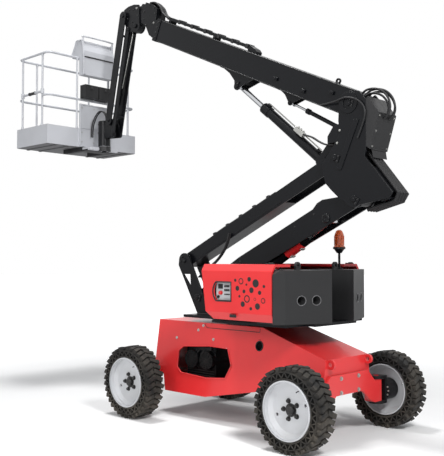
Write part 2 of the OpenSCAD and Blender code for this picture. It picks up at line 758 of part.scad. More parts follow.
// Lower riser arm: an inverted channel, open below for the cylinder; its outline runs along the arm
arm_half = arm_w / 2;
arm_plate_t = 18;
arm_end_r = 75;
arm_boss_d = 130;
arm_low = 66;
web_t = 14;
arm_top_shares = [
    [0, 0.027], [0.142, 0.052], [0.311, 0.065], [0.785, 0.067], [0.816, 0.08], [0.847, 0.08],
    [0.918, 0.054], [1, 0.031]
];
arm_top = riser_len * arm_top_shares;
riser_eye_share = 0.83;
riser_eye_s = riser_len * riser_eye_share;
riser_eye = off(tower_low, riser_u, riser_eye_s, 0);
riser_eye_y = 60;
module lower_arm() {
    color(black_paint) at_origin() difference() {
        union() {
            plates_xz(arm_half - arm_plate_t / 2, arm_plate_t) {
                polygon(along(tower_low, riser_u, concat([[0, -arm_low]], arm_top, [[riser_len, -arm_low]])));
                lobe(tower_low, arm_end_r);
                lobe(link_low, arm_end_r);
            }
            plate_xz(0, arm_w - arm_plate_t) polygon(along(tower_low, riser_u, concat(
                [for (i = [1:6]) arm_top[i] - [0, lap]], [for (i = [6:-1:1]) arm_top[i] - [0, web_t + lap]]
            )));
            for (p = [tower_low, link_low]) shaft_y(p, boss_len, arm_boss_d);
            stubs_y(riser_eye, riser_eye_y, arm_half - lap, riser_pin_d);
        }
        for (p = [tower_low, link_low]) shaft_y(p, pin_len, pin_d + 2 * run_gap);
    }
}

// Upper riser arm: a box that ends in a fork at the link
fork_share = 0.3283;
fork_s = riser_len * fork_share;
fork_half_share = 0.416;
fork_half = arm_w * fork_half_share;
arm_box_s = 160;
round_out = 2;
module upper_arm() {
    h = upper_arm_h / 2;
    hollow = h - boom_wall;
    box_end = riser_len - fork_s - web_t;
    color(black_paint) at_origin() difference() {
        union() {
            plate_xz(0, arm_w) {
                polygon(along(tower_up, riser_u, [[0, -h], [0, h], [riser_len, h], [riser_len, -h]]));
                lobe(tower_up, h + round_out);
                lobe(link_up, h + round_out);
            }
            for (p = [tower_up, link_up]) shaft_y(p, boss_len, arm_boss_d);
        }
        plate_xz(0, arm_w - 2 * boom_wall) polygon(along(tower_up, riser_u, [
            [arm_box_s, -hollow], [arm_box_s, hollow], [box_end, hollow], [box_end, -hollow]
        ]));
        plate_xz(0, 2 * fork_half) polygon(along(tower_up, riser_u, [
            [riser_len - fork_s, -upper_arm_h], [riser_len - fork_s, upper_arm_h],
            [riser_len + upper_arm_h, upper_arm_h], [riser_len + upper_arm_h, -upper_arm_h]
        ]));
        for (p = [tower_up, link_up]) shaft_y(p, pin_len, pin_d + 2 * run_gap);
    }
}

// Cylinders: a barrel from its base eye with a gland and a blind bore, and a rod with its own eye
gland_out = 7;
module barrel(p, a, len, d, rod, w, eye, pin) {
    difference() {
        union() {
            shaft_xz(p, a, len, d);
            shaft_xz(p + (len - d) * dir(a), a, d, d + 2 * gland_out);
            shaft_y(p, w, eye);
        }
        shaft_xz(p + eye * dir(a), a, len, rod + 2 * run_gap);
        shaft_y(p, 2 * w, pin + 2 * run_gap);
    }
}
module rod(p, a, span, len, d, w, eye, hole) {
    difference() {
        union() {
            shaft_xz(p + (span - len) * dir(a), a, len - hole / 2, d);
            shaft_y(p + span * dir(a), w, eye);
        }
        shaft_y(p + span * dir(a), 2 * w, hole);
    }
}

// Riser cylinder between the turret ears and the lower arm
riser_d = 110;
riser_rod_d = 60;
eye_w = 2 * (ear_in - side_gap);
riser_dir = angle_of(riser_eye - riser_base);
riser_span = norm(riser_eye - riser_base);
riser_barrel_share = 0.816;
riser_barrel_len = riser_span * riser_barrel_share;
riser_rod_share = 0.4294;
riser_rod_len = riser_span * riser_rod_share;
riser_barrel_eye_d = 96;
riser_rod_eye_d = 90;
module riser_barrel() {
    color(black_paint) at_origin()
        barrel(riser_base, riser_dir, riser_barrel_len, riser_d, riser_rod_d, eye_w, riser_barrel_eye_d,
            riser_pin_d);
}
module riser_rod() {
    color(chrome) at_origin() rod(riser_base, riser_dir, riser_span, riser_rod_len, riser_rod_d,
        2 * (riser_eye_y - side_gap), riser_rod_eye_d, riser_pin_d);
}

// Riser link: two cheeks round the arms and the boom tail, a front box with the cylinder ears, and a hose tail
link_rear_share = 0.153;
link_rear_x = boom_pin_z * link_rear_share;
link_boss_r = 110;
link_foot_r = 78;
link_front_shares = [
    [0.186, 0.825], [0.163, 0.697], [0.266, 0.551], [0.345, 0.463], [0.398, 0.383], [0.359, 0.188],
    [0.283, 0.109], [0.194, 0.03], [0.052, -0.065]
];
link_front = boom_pin_z * link_front_shares;
link_rear_shares = [
    [-0.052, -0.065], [-0.135, 0.432], [-0.153, 0.495], [-0.153, 1.002], [-0.068, 1.109]
];
link_rear = boom_pin_z * link_rear_shares;
link_box_shares = [[0.169, 0.608], [0.169, 0.802], [0.261, 0.779], [0.333, 0.68], [0.333, 0.608]];
link_box = boom_pin_z * link_box_shares;
lift_base_ahead = 230;
lift_base_drop = 6;
lift_base = link_up + [lift_base_ahead, -lift_base_drop];
level_base_ahead = 220;
level_base_drop = 180;
level_base = boom_pin + [level_base_ahead, -level_base_drop];
lift_pin_d = 45;
lift_ear_r = 44;
lift_ear_root_shares = [[0.191, 0.698], [0.315, 0.698]];
lift_ear_root = boom_pin_z * lift_ear_root_shares;
level_pin_d = 25;
level_ear_r = 28;
level_ear_y = 37;
level_ear_root_shares = [[0.203, 0.698], [0.315, 0.664]];
level_ear_root = boom_pin_z * level_ear_root_shares;
tail_lip_shares = [[0.038, -0.059], [0.029, 0.038]];
tail_lip = boom_pin_z * tail_lip_shares;
rib_t = 16;
rib_span_shares = [[0.35, 0.95], [0.03, 0.33]];
hose_top_shares = [-0.119, 0.484];
hose_end_shares = [-0.113, -0.114];
hose_reach = hose_d / 2 + seat;
hose_path = [
    link_low + boom_pin_z * hose_top_shares, tail_tip + [-hose_reach, 0],
    tail_tip + tail_lip[0] + [-hose_reach, -hose_reach], link_low + boom_pin_z * hose_end_shares
];
// A rib of the tail under a stretch of the hoses
module hose_rib(a, b, span) {
    d = (b - a) / norm(b - a);
    n = [-d[1], d[0]];
    polygon([
        a + span[0] * (b - a) + hose_reach * n, a + span[1] * (b - a) + hose_reach * n,
        a + span[1] * (b - a) + (hose_reach + rib_t) * n, a + span[0] * (b - a) + (hose_reach + rib_t) * n
    ]);
}
module link_cheek() {
    polygon(concat(
        [link_low + link_rear[0], tail_tip + tail_lip[0], tail_tip, tail_tip + tail_lip[1]],
        from(link_low, [for (i = [1:4]) link_rear[i]]), [boom_pin + [link_boss_r - lap, 0]],
        from(link_low, link_front)
    ));
    lobe(boom_pin, link_boss_r);
    lobe(link_low, link_foot_r);
}
module riser_link() {
    color(black_paint) at_origin() {
        plates_xz(cheek_y, plate_t) link_cheek();
        for (p = [boom_pin, link_low]) shaft_y(p, pin_len, pin_d);
        stubs_y(link_up, fork_half + lap, pin_len / 2, pin_d);
        plate_xz(0, 2 * cheek_in + plate_t) polygon(from(link_low, link_box));
        plates_xz(ear_in + ear_t / 2, ear_t) {
            lobe(lift_base, lift_ear_r);
            polygon(concat(from(link_low, lift_ear_root), [
                lift_base + [lift_ear_r - lap, 0], lift_base + [0, lap - lift_ear_r],
                lift_base + [lap - lift_ear_r, 0]
            ]));
        }
        shaft_y(lift_base, 2 * (ear_in + ear_t), lift_pin_d);
        plates_xz(level_ear_y, ear_t) {
            lobe(level_base, level_ear_r);
            polygon([
                link_low + level_ear_root[0], level_base + [lap - level_ear_r, 0],
                level_base + [level_ear_r - lap, 0],
                link_low + level_ear_root[1]
            ]);
        }
        shaft_y(level_base, 2 * level_ear_y + ear_t, level_pin_d);
        plate_xz(0, 2 * cheek_in + plate_t) hose_rib(hose_path[0], hose_path[1], rib_span_shares[0]);
        plate_xz(0, 2 * cheek_in + plate_t) hose_rib(hose_path[2], hose_path[3], rib_span_shares[1]);
    }
}

// Hood on the rear of the link
hood_half = cheek_in + plate_t;
hood_outline_shares = [[0, 0.529], [0, 0.991], [-0.023, 1.036], [-0.155, 0.856], [-0.045, 0.495]];
hood_outline = boom_pin_z * hood_outline_shares;
module link_hood() {
    color(grey_paint) at_origin() plate_xz(0, 2 * hood_half)
        polygon(from(link_low + [-link_rear_x - seat, 0], hood_outline));
}

// Hoses that run round the tail of the link
hose_y_shares = [-0.347, -0.116, 0.116, 0.347];
hose_y = arm_w * hose_y_shares;
module hose_run(a, b, y) {
    translate([0, y, 0]) shaft_xz(a, angle_of(b - a), norm(b - a), hose_d);
}
module tail_hoses() {
    color(rubber) at_origin() for (y = hose_y) {
        for (i = [0:2]) hose_run(hose_path[i], hose_path[i + 1], y);
        for (i = [1, 2]) translate([hose_path[i][0], y, hose_path[i][1]]) sphere(d = hose_d);
    }
}

// Main boom: a tube with a rounded tail, brackets below it, a lifting eye and a collar at its mouth
mouth_t = 60;
tube_gap = 12;
tail_box_s = 400;
lift_s_share = 0.4928;
lift_s = boom_len * lift_s_share;
lift_drop_share = 1.004;
lift_drop = boom_h * lift_drop_share;
level_s_share = 0.2474;
level_s = boom_len * level_s_share;
level_drop_share = 0.832;
level_drop = boom_h * level_drop_share;
lift_eye = off(boom_pin, boom_u, lift_s, -lift_drop);
level_eye = off(boom_pin, boom_u, level_s, -level_drop);
bracket_root = 10;
lift_bracket_shares = [[1.32, 0], [0.66, 0.12], [0.248, 0.33]];
lift_bracket = boom_h * lift_bracket_shares;
lift_bracket_rear = 205;
level_bracket_shares = [[0.848, 0], [0.392, 0.104]];
level_bracket = boom_h * level_bracket_shares;
level_bracket_rear = 132;
sling_s = 300;
sling_out = 28;
sling_hole_r = 13;
sling_t = 16;
sling_rise = 22;
inner_w = boom_w - 2 * boom_wall - 2 * tube_gap;
inner_h = boom_h - 2 * boom_wall - 2 * tube_gap;
function boom_at(s, t) = off(boom_pin, boom_u, s, t);
module boom_box(s0, s1, h, w) {
    plate_xz(0, w) polygon([boom_at(s0, -h / 2), boom_at(s0, h / 2), boom_at(s1, h / 2), boom_at(s1, -h / 2)]);
}
module boom_outer() {
    root = bracket_root - boom_h / 2;
    sling = boom_at(sling_s, boom_h / 2 + sling_rise);
    color(black_paint) at_origin() difference() {
        union() {
            plate_xz(0, boom_w) {
                polygon([
                    boom_at(0, -boom_h / 2), boom_at(0, boom_h / 2), boom_at(boom_len, boom_h / 2),
                    boom_at(boom_len, -boom_h / 2)
                ]);
                lobe(boom_pin, boom_h / 2 + round_out);
            }
            shaft_y(boom_pin, boss_len, 2 * link_boss_r - 2 * plate_t);
            plates_xz(ear_in + ear_t / 2, ear_t) {
                lobe(lift_eye, lift_ear_r);
                polygon(concat(
                    [boom_at(lift_s - lift_bracket_rear, root), boom_at(lift_s + lift_bracket[0][0], root)],
                    [for (i = [1:2]) boom_at(lift_s + lift_bracket[i][0], -boom_h / 2 - lift_bracket[i][1])],
                    [boom_at(lift_s + lift_ear_r - lap, -lift_drop), boom_at(lift_s + lap - lift_ear_r, -lift_drop)]
                ));
            }
            plates_xz(level_ear_y, ear_t) {
                lobe(level_eye, level_ear_r);
                polygon([
                    boom_at(level_s - level_bracket_rear, root), boom_at(level_s + level_bracket[0][0], root),
                    boom_at(level_s + level_bracket[1][0], -boom_h / 2 - level_bracket[1][1]),
                    boom_at(level_s + level_ear_r - lap, -level_drop),
                    boom_at(level_s + lap - level_ear_r, -level_drop)
                ]);
            }
            stubs_y(lift_eye, ear_in + lap, ear_in + ear_t + pin_head, lift_pin_d);
            stubs_y(level_eye, level_ear_y, level_ear_y + ear_t / 2 + pin_head, level_pin_d);
            plate_xz(0, sling_t) {
                lobe(sling, sling_out);
                polygon([
                    boom_at(sling_s - sling_out, boom_h / 2 - lap), boom_at(sling_s + sling_out, boom_h / 2 - lap),
                    sling + (sling_out - lap) * boom_u, sling - (sling_out - lap) * boom_u
                ]);
            }
        }
        boom_box(tail_box_s, boom_len - mouth_t, boom_h - 2 * boom_wall, boom_w - 2 * boom_wall);
        boom_box(boom_len - 2 * mouth_t, boom_len + over, inner_h + 2 * seat, inner_w + 2 * seat);
        shaft_y(boom_pin, pin_len, pin_d + 2 * run_gap);
        shaft_y(sling, pin_len, 2 * sling_hole_r);
    }
}

// Inner boom with wear pads at its tail, and the humped nose with its tongue for the jib head
inner_tail_s = 1200;
pad_len = 160;
nose_from = 60;
nose_body_shares = [
    [0.136, -0.392], [0.136, 0.392], [0.236, 0.956], [0.489, 1.056], [0.759, 1.032], [0.786, 0.4],
    [0.682, 0.06], [0.47, -0.052], [0.25, -0.36]
];
nose_body = scaled(nose_body_shares, nose_reach, boom_h);
nose_tongue_shares = [
    [0.636, 0.12], [0.727, 0.984], [1, 0.912], [1.136, 0.36], [1, -0.04], [0.898, -0.056],
    [0.773, 0.056]
];
nose_tongue = scaled(nose_tongue_shares, nose_reach, boom_h);
tongue_half = 34;
tongue_r = 72;
nose_pin_d = 44;
head_in = 35;
head_t = 14;
module boom_inner() {
    color(black_paint) at_origin() difference() {
        union() {
            boom_box(inner_tail_s, boom_len + nose_from + lap, inner_h, inner_w);
            boom_box(inner_tail_s, inner_tail_s + pad_len, boom_h - 2 * boom_wall - 2 * seat,
                boom_w - 2 * boom_wall - 2 * seat);
            plate_xz(0, inner_w) polygon([for (q = nose_body) boom_at(boom_len + q[0], q[1])]);
            plate_xz(0, 2 * tongue_half) {
                polygon([for (q = nose_tongue) boom_at(boom_len + q[0], q[1])]);
                lobe(nose_pin, tongue_r);
            }
            shaft_y(nose_pin, 2 * (head_in + head_t + pin_head), nose_pin_d);
        }
        boom_box(inner_tail_s - over, boom_len, inner_h - 2 * boom_wall, inner_w - 2 * boom_wall);
    }
}

// Hose carrier bar on top of the outer boom, bent down at its rear end
carrier_w = 90;
carrier_outline_shares = [
    [0.461, 0], [0.462, 0.104], [0.474, 0.192], [0.5, 0.248], [0.967, 0.248], [0.967, 0.112],
    [0.516, 0.112], [0.505, 0.072], [0.502, 0]
];
carrier_outline = scaled(carrier_outline_shares, boom_len, boom_h);
carrier_feet_s_shares = [0.678, 0.941];
carrier_feet_s = boom_len * carrier_feet_s_shares;
carrier_foot = 40;
module hose_carrier() {
    top = boom_h / 2 + seat;
    color(black_paint) at_origin() {
        plate_xz(0, carrier_w) polygon([for (q = carrier_outline) boom_at(q[0], top + q[1])]);
        for (s = carrier_feet_s)
            plate_xz(0, carrier_w) polygon([
                boom_at(s, top), boom_at(s, top + carrier_foot), boom_at(s + carrier_foot, top + carrier_foot),
                boom_at(s + carrier_foot, top)
            ]);
    }
}

// Boom lift cylinder between the link and the boom
lift_dir = angle_of(lift_eye - lift_base);
lift_span = norm(lift_eye - lift_base);
lift_d = 100;
lift_rod_d = 56;
lift_barrel_share = 0.7;
lift_barrel_len = lift_span * lift_barrel_share;
lift_rod_share = 0.614;
lift_rod_len = lift_span * lift_rod_share;
lift_barrel_eye_d = 88;
lift_rod_eye_d = 62;
module lift_barrel() {
    color(black_paint) at_origin()
        barrel(lift_base, lift_dir, lift_barrel_len, lift_d, lift_rod_d, eye_w, lift_barrel_eye_d, lift_pin_d);
}
module lift_rod() {
    color(chrome) at_origin()
        rod(lift_base, lift_dir, lift_span, lift_rod_len, lift_rod_d, eye_w, lift_rod_eye_d, lift_pin_d);
}

// Levelling cylinder between the link and the boom tail
level_dir = angle_of(level_eye - level_base);
level_span = norm(level_eye - level_base);
level_d = 42;
level_rod_d = 26;
level_barrel_share = 0.667;
level_barrel_len = level_span * level_barrel_share;
level_rod_share = 0.635;
level_rod_len = level_span * level_rod_share;
level_barrel_eye_d = 50;
level_rod_eye_d = 40;
level_eye_w = 2 * (level_ear_y - ear_t / 2 - side_gap);
module level_barrel() {
    color(black_paint) at_origin()
        barrel(level_base, level_dir, level_barrel_len, level_d, level_rod_d, level_eye_w, level_barrel_eye_d,
            level_pin_d);
}
module level_rod() {
    color(chrome) at_origin()
        rod(level_base, level_dir, level_span, level_rod_len, level_rod_d, level_eye_w, level_rod_eye_d,
            level_pin_d);
}

// Jib head: levelled plates on both sides of the nose tongue
bar_t = 14;
bar_gap = 6;
lower_bar_y = head_in + head_t + side_gap + bar_t / 2;
upper_bar_y = lower_bar_y + bar_t + bar_gap;
jib_pin_d = 32;
jib_pin_out = 6;
head_outline_shares = [
    [-0.164, 0.082], [-0.141, 0.568], [0.068, 0.618], [0.318, 0.614], [0.504, 0.559]
];
head_outline = nose_reach * head_outline_shares;
head_nose_r = 76;
head_ear_r = 36;
head_foot_r = 34;
module jib_head() {
    color(black_paint) at_origin() difference() {
        union() {
            plates_xz(head_in + head_t / 2, head_t) {
                polygon(concat(from(nose_pin, head_outline), [
                    jib_up + [head_ear_r - lap, 0], jib_low + [head_foot_r - lap, 0],
                    jib_low + [0, lap - head_foot_r],
                    nose_pin + [0, lap - head_nose_r]
                ]));
                lobe(nose_pin, head_nose_r);
                lobe(jib_up, head_ear_r);
                lobe(jib_low, head_foot_r);
            }
            shaft_y(jib_up, 2 * (upper_bar_y + bar_t / 2 + jib_pin_out), jib_pin_d);
            shaft_y(jib_low, 2 * (lower_bar_y + bar_t / 2 + bar_gap / 2), jib_pin_d);
        }
        shaft_y(nose_pin, pin_len, nose_pin_d + 2 * run_gap);
    }
}

// Jib bars: twin plates with a cross tie, the lower pair inside the upper pair
tie_s = 230;
tie_d = 30;
module jib_bar(a, b, y, depth, tie, side) {
    h = depth / 2;
    tie_t = side * (h - tie_d / 2 - lap);
    difference() {
        union() {
            plates_xz(y, bar_t) {
                polygon([off(a, jib_u, 0, -h), off(a, jib_u, 0, h), off(b, jib_u, 0, h), off(b, jib_u, 0, -h)]);
                lobe(a, h + round_out);
                lobe(b, h + round_out);
            }
            shaft_y(off(a, jib_u, tie, tie_t), 2 * y, tie_d);
        }
        for (p = [a, b]) shaft_y(p, pin_len, jib_pin_d + 2 * run_gap);
    }
}
module jib_upper_bar() {
    color(black_paint) at_origin() jib_bar(jib_up, bracket_up, upper_bar_y, upper_bar_h, tie_s, 1);
}
module jib_lower_bar() {
    color(black_paint) at_origin() jib_bar(jib_low, bracket_low, lower_bar_y, lower_bar_h, jib_len - tie_s, -1);
}

// Jib cylinder along the diagonal of the jib
jib_dir = angle_of(bracket_up - jib_low);
jib_span = norm(bracket_up - jib_low);
jib_d = 52;
jib_rod_d = 30;
jib_barrel_share = 0.629;
jib_barrel_len = jib_span * jib_barrel_share;
jib_rod_share = 0.839;
jib_rod_len = jib_span * jib_rod_share;
jib_barrel_eye_d = 56;
jib_rod_eye_d = 50;
jib_eye_w = 2 * (head_in - side_gap);
module jib_barrel() {
    color(black_paint) at_origin()
        barrel(jib_low, jib_dir, jib_barrel_len, jib_d, jib_rod_d, jib_eye_w, jib_barrel_eye_d, jib_pin_d);
}
module jib_rod() {
    color(chrome) at_origin()
        rod(jib_low, jib_dir, jib_span, jib_rod_len, jib_rod_d, jib_eye_w, jib_rod_eye_d, jib_pin_d);
}

// Bracket at the foot of the jib with the platform rotator
rotor_ahead = 250;
rotor_x = bracket_low[0] + rotor_ahead;
rotor_rise = 190;
rotor_r = 78;
rotor_pin_d = 60;
rotor_pin_end = 20;
hub_h = 60;
beam_drop = 60;
beam_z = floor_z - floor_t - beam_drop;
bracket_arm_shares = [[-0.04, -0.144], [-0.04, 0.24], [0.32, 0.76], [1, 0.6], [1, -0.08]];
bracket_arm = rotor_ahead * bracket_arm_shares;
module jib_bracket() {
    hub_top = beam_z + hub_h + side_gap;
    color(black_paint) at_origin() {
        plates_xz(head_in + head_t / 2, head_t) {
            polygon(from(bracket_low, bracket_arm));
            lobe(bracket_up, head_ear_r);
            lobe(bracket_low, head_ear_r);
            polygon([
                bracket_low + [lap - head_ear_r, 0], bracket_up + [lap - head_ear_r, 0],
                bracket_up + [head_ear_r - lap, 0],
                bracket_low + [head_ear_r - lap, 0]
            ]);
        }
        stubs_y(bracket_up, head_in + lap, upper_bar_y + bar_t / 2 + jib_pin_out, jib_pin_d);
        stubs_y(bracket_low, head_in + lap, lower_bar_y + bar_t / 2 + bar_gap / 2, jib_pin_d);
        translate([rotor_x, 0, hub_top]) cylinder(h = bracket_low[1] + rotor_rise - hub_top, r = rotor_r);
        translate([rotor_x, 0, beam_z - rotor_pin_end])
            cylinder(h = hub_top + lap - beam_z + rotor_pin_end, d = rotor_pin_d);
    }
}

// Platform base: floor with toe boards and the beams that carry it to the rotator
toe_t = 14;
beam_w = 60;
beam_y = 190;
beam_back = 60;
yoke_t = 40;
module platform_base() {
    half = platform_w / 2;
    color(pale_grey) at_origin() difference() {
        union() {
            translate([platform_rear_x, -half, floor_z - floor_t]) cube([platform_l, platform_w, floor_t]);
            difference() {
                translate([platform_rear_x, -half, floor_z - lap]) cube([platform_l, platform_w, toe_h + lap]);
                translate([platform_rear_x + toe_t, -half + toe_t, floor_z - 2 * lap])
                    cube([platform_l - 2 * toe_t, platform_w - 2 * toe_t, toe_h + over]);
            }
            for (m = [-1, 1]) translate([platform_rear_x - beam_back, m * beam_y - beam_w / 2, beam_z])
                cube([platform_l / 2 + beam_back, beam_w, beam_drop + lap]);
            translate([rotor_x, 0, beam_z]) cylinder(h = hub_h, r = rotor_r);
            translate([rotor_x, -beam_y - beam_w / 2 + lap, beam_z + lap])
                cube([platform_rear_x - rotor_x, 2 * beam_y + beam_w - 2 * lap, yoke_t]);
        }
        translate([rotor_x, 0, beam_z - over]) cylinder(h = hub_h + 2 * over, d = rotor_pin_d + 2 * run_gap);
    }
}

// Guard rails: rounded loops of tube on slimmer posts
rail_inset = rail_d / 2;
rail_bend = 70;
post_share = 0.833;
post_d = rail_d * post_share;
mid_share = 0.52;
post_x_shares = [0.2, 0.85];
front_post_shares = [-0.3, 0.3];
rear_posts_y_shares = [0.179, -0.179, -0.414];
rear_posts_y = platform_w * rear_posts_y_shares;
rail_x0 = platform_rear_x + rail_inset;
rail_x1 = platform_front_x - rail_inset;
rail_y1 = platform_w / 2 - rail_inset;
mid_z = floor_z + rail_h * mid_share;
function post_x(i) = platform_rear_x + platform_l * post_x_shares[i];
module rail_x(x0, x1, y, z) { translate([x0, y, z]) rotate([0, 90, 0]) cylinder(h = x1 - x0, d = rail_d); }
module rail_y(x, z) {
    translate([x, rail_bend - rail_y1, z]) rotate([-90, 0, 0])
        cylinder(h = 2 * rail_y1 - 2 * rail_bend, d = rail_d);
}
module rail_corner(m, n, z) {
    x = m > 0 ? rail_x1 - rail_bend : rail_x0 + rail_bend;
    a = m > 0 ? (n > 0 ? 0 : 270) : (n > 0 ? 90 : 180);
    translate([x, n * (rail_y1 - rail_bend), z]) rotate([0, 0, a])
        rotate_extrude(angle = 90) translate([rail_bend, 0]) circle(d = rail_d);
}
module post(x, y) {
    foot = floor_z + toe_h + seat;
    translate([x, y, foot]) cylinder(h = rail_z - foot, d = post_d);
}
module platform_rails() {
    color(pale_grey) at_origin() {
        for (z = [rail_z, mid_z]) {
            for (m = [-1, 1], n = [-1, 1]) rail_corner(m, n, z);
            rail_y(rail_x0, z);
            rail_y(rail_x1, z);
            rail_x(rail_x0 + rail_bend, rail_x1 - rail_bend, -rail_y1, z);
        }
        rail_x(rail_x0 + rail_bend, rail_x1 - rail_bend, rail_y1, rail_z);
        rail_x(rail_x0 + rail_bend, post_x(0), rail_y1, mid_z);
        rail_x(post_x(1), rail_x1 - rail_bend, rail_y1, mid_z);
        for (m = [-1, 1], i = [0, 1]) post(post_x(i), m * rail_y1);
        for (y = rear_posts_y) post(rail_x0, y);
        for (s = front_post_shares) post(rail_x1, s * platform_w);
    }
}

// Apron plate on the rear of the platform
apron_y_shares = [-0.164, 0.161];
apron_y = platform_w * apron_y_shares;
apron_h_share = 0.4996;
apron_h = rail_h * apron_h_share;
module platform_apron() {
    color(pale_grey) at_origin()
        translate([platform_rear_x - toe_t - seat, apron_y[0], floor_z - floor_t + lap + seat])
            cube([toe_t, apron_y[1] - apron_y[0], apron_h]);
}

// Upper control console hung on the rear rail, and the two dark boxes below it
console_half = 232;
console_outline_shares = [
    [-0.097, 0.791], [-0.097, 1.07], [-0.052, 1.196], [0.058, 1.196], [0.135, 1.043], [0.135, 1.014],
    [-0.002, 1.014], [-0.002, 0.791]
];
console_outline = rail_h * console_outline_shares;
box_outline_shares = [[-0.104, 0.531], [-0.104, 0.674], [0, 0.674], [0, 0.531]];
box_outline = rail_h * box_outline_shares;
boxes_half = 210;
box_split = 8;
box_x = rail_x0 - post_d / 2 - seat;
module platform_console() {
    rail_top = rail_z + rail_d / 2 + seat - floor_z;
    color(pale_grey) at_origin() plate_xz(0, 2 * console_half)
        polygon(from([platform_rear_x, floor_z],
            [for (q = console_outline) q[1] > rail_h - rail_d && q[1] < rail_top + over ? [q[0], rail_top] : q]));
}
module platform_boxes() {
    w = boxes_half - box_split;
    color(rubber) at_origin() {
        plates_xz(w / 2 + box_split, w) polygon(from([box_x, floor_z], box_outline));
        plate_xz(0, 2 * box_split + 2 * lap) polygon(from([box_x - lap, floor_z + lap],
            [[box_outline[0][0] + over, box_outline[0][1]], [box_outline[1][0] + over, box_outline[1][1] - over],
                [box_outline[2][0], box_outline[2][1] - over], box_outline[3]]));
    }
}

// Sliding middle rail that closes the way in
collar_h = 60;
collar_wall = 7;
collar_rest = 6;
module entry_bar() {
    low = mid_z + rail_d / 2 + collar_rest;
    color(pale_grey) at_origin() difference() {
        union() {
            rail_x(post_x(0), post_x(1), rail_y1, low + collar_h / 2);
            for (i = [0, 1]) translate([post_x(i), rail_y1, low])
                cylinder(h = collar_h, d = rail_d + 2 * collar_wall);
        }
        for (i = [0, 1]) translate([post_x(i), rail_y1, low - over])
            cylinder(h = collar_h + 2 * over, d = post_d + 2 * run_gap);
    }
}

chassis_frame();
power_unit();
front_axle();
rear_axle();
slewing_ring();
knuckle_front_left();
knuckle_front_right();
knuckle_rear_left();
knuckle_rear_right();
wheel_front_left();
wheel_front_right();
wheel_rear_left();
wheel_rear_right();
tyre_front_left();
tyre_front_right();
tyre_rear_left();
tyre_rear_right();
turret_frame();
counterweight_left();
counterweight_right();
cover_left();
cover_right();
tank_left();
tank_right();
ground_controls();
beacon_post();
beacon_lens();
lower_arm();
upper_arm();
riser_link();
link_hood();
tail_hoses();
riser_barrel();
riser_rod();
boom_outer();
boom_inner();
hose_carrier();
lift_barrel();
lift_rod();
level_barrel();
level_rod();
jib_head();
jib_upper_bar();
jib_lower_bar();
jib_barrel();
jib_rod();
jib_bracket();
platform_base();
platform_rails();
platform_apron();
platform_console();
platform_boxes();
entry_bar();
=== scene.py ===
# %% [markdown]
# An articulating boom lift carries a railed platform on a riser, a telescopic boom and a jib.
# The solids of the machine come in as a fixed frame. This lesson gives them their finishes and adds
# the small things that sit on them: hoses, bolts, latches, switches and seams.

# %% Load the frame
import json
import math
import bpy
import bmesh
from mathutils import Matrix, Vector


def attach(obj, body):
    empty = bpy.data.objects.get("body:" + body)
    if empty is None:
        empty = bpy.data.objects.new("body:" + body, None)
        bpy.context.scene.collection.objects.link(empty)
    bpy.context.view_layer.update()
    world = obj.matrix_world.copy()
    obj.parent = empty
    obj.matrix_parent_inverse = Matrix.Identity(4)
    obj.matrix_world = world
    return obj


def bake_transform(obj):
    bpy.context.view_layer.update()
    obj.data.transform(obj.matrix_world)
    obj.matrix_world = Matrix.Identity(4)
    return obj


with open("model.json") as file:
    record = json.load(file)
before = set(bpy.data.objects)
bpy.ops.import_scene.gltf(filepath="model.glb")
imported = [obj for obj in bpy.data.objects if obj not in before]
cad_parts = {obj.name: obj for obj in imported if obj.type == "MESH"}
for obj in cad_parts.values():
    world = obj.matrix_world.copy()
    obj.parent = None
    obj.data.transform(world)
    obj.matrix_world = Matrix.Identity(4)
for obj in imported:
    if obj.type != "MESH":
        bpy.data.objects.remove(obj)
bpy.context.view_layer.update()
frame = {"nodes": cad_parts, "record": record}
nodes = frame["nodes"]
scene = bpy.context.scene

# %% [markdown]
# Places are easier to read in the maker's own side view: millimetres from the middle of the wheelbase.
# The solids use metres and an origin under the middle of the whole machine, so one small function
# turns the first into the second. The main pins follow from the angles and lengths of the booms.

# %% Pins of the booms
ORIGIN_X = -902.1974
WHEELBASE, RISER_LEN, LINK_H, BOOM_LEN, JIB_LEN = 2168, 2254, 888, 3040, 1300
RISER, BOOM, JIB = 154.8, 24.8, -77.6


def place(x, y, z):
    return Vector(((x + ORIGIN_X) / 1000, y / 1000, z / 1000))


def step(start, angle, along, across=0.0):
    c, s = math.cos(math.radians(angle)), math.sin(math.radians(angle))
    return (start[0] + along * c - across * s, start[1] + along * s + across * c)


TOWER_UP, TOWER_LOW = (950.0, 1652.0), (740.0, 1255.0)
LINK_UP, LINK_LOW = step(TOWER_UP, RISER, RISER_LEN), step(TOWER_LOW, RISER, RISER_LEN)
BOOM_PIN = (LINK_LOW[0] + 50, LINK_LOW[1] + LINK_H)
NOSE_PIN = step(BOOM_PIN, BOOM, 3480, -48)
JIB_LOW = (NOSE_PIN[0] + 143, NOSE_PIN[1] - 18)
JIB_UP = step(JIB_LOW, 70, 190)
FOOT_LOW, FOOT_UP = step(JIB_LOW, JIB, JIB_LEN), step(JIB_UP, JIB, JIB_LEN)
PLATFORM_REAR, FLOOR_Z = FOOT_LOW[0] + 486, FOOT_LOW[1] - 86
print("boom pin", [round(v) for v in BOOM_PIN], "platform floor at", round(FLOOR_Z), "mm")

# %% [markdown]
# The camera stands behind and to the left, about as high as the turret, and looks up a touch. Its lens
# gives the same picture width as the photograph, so that shapes can be compared.

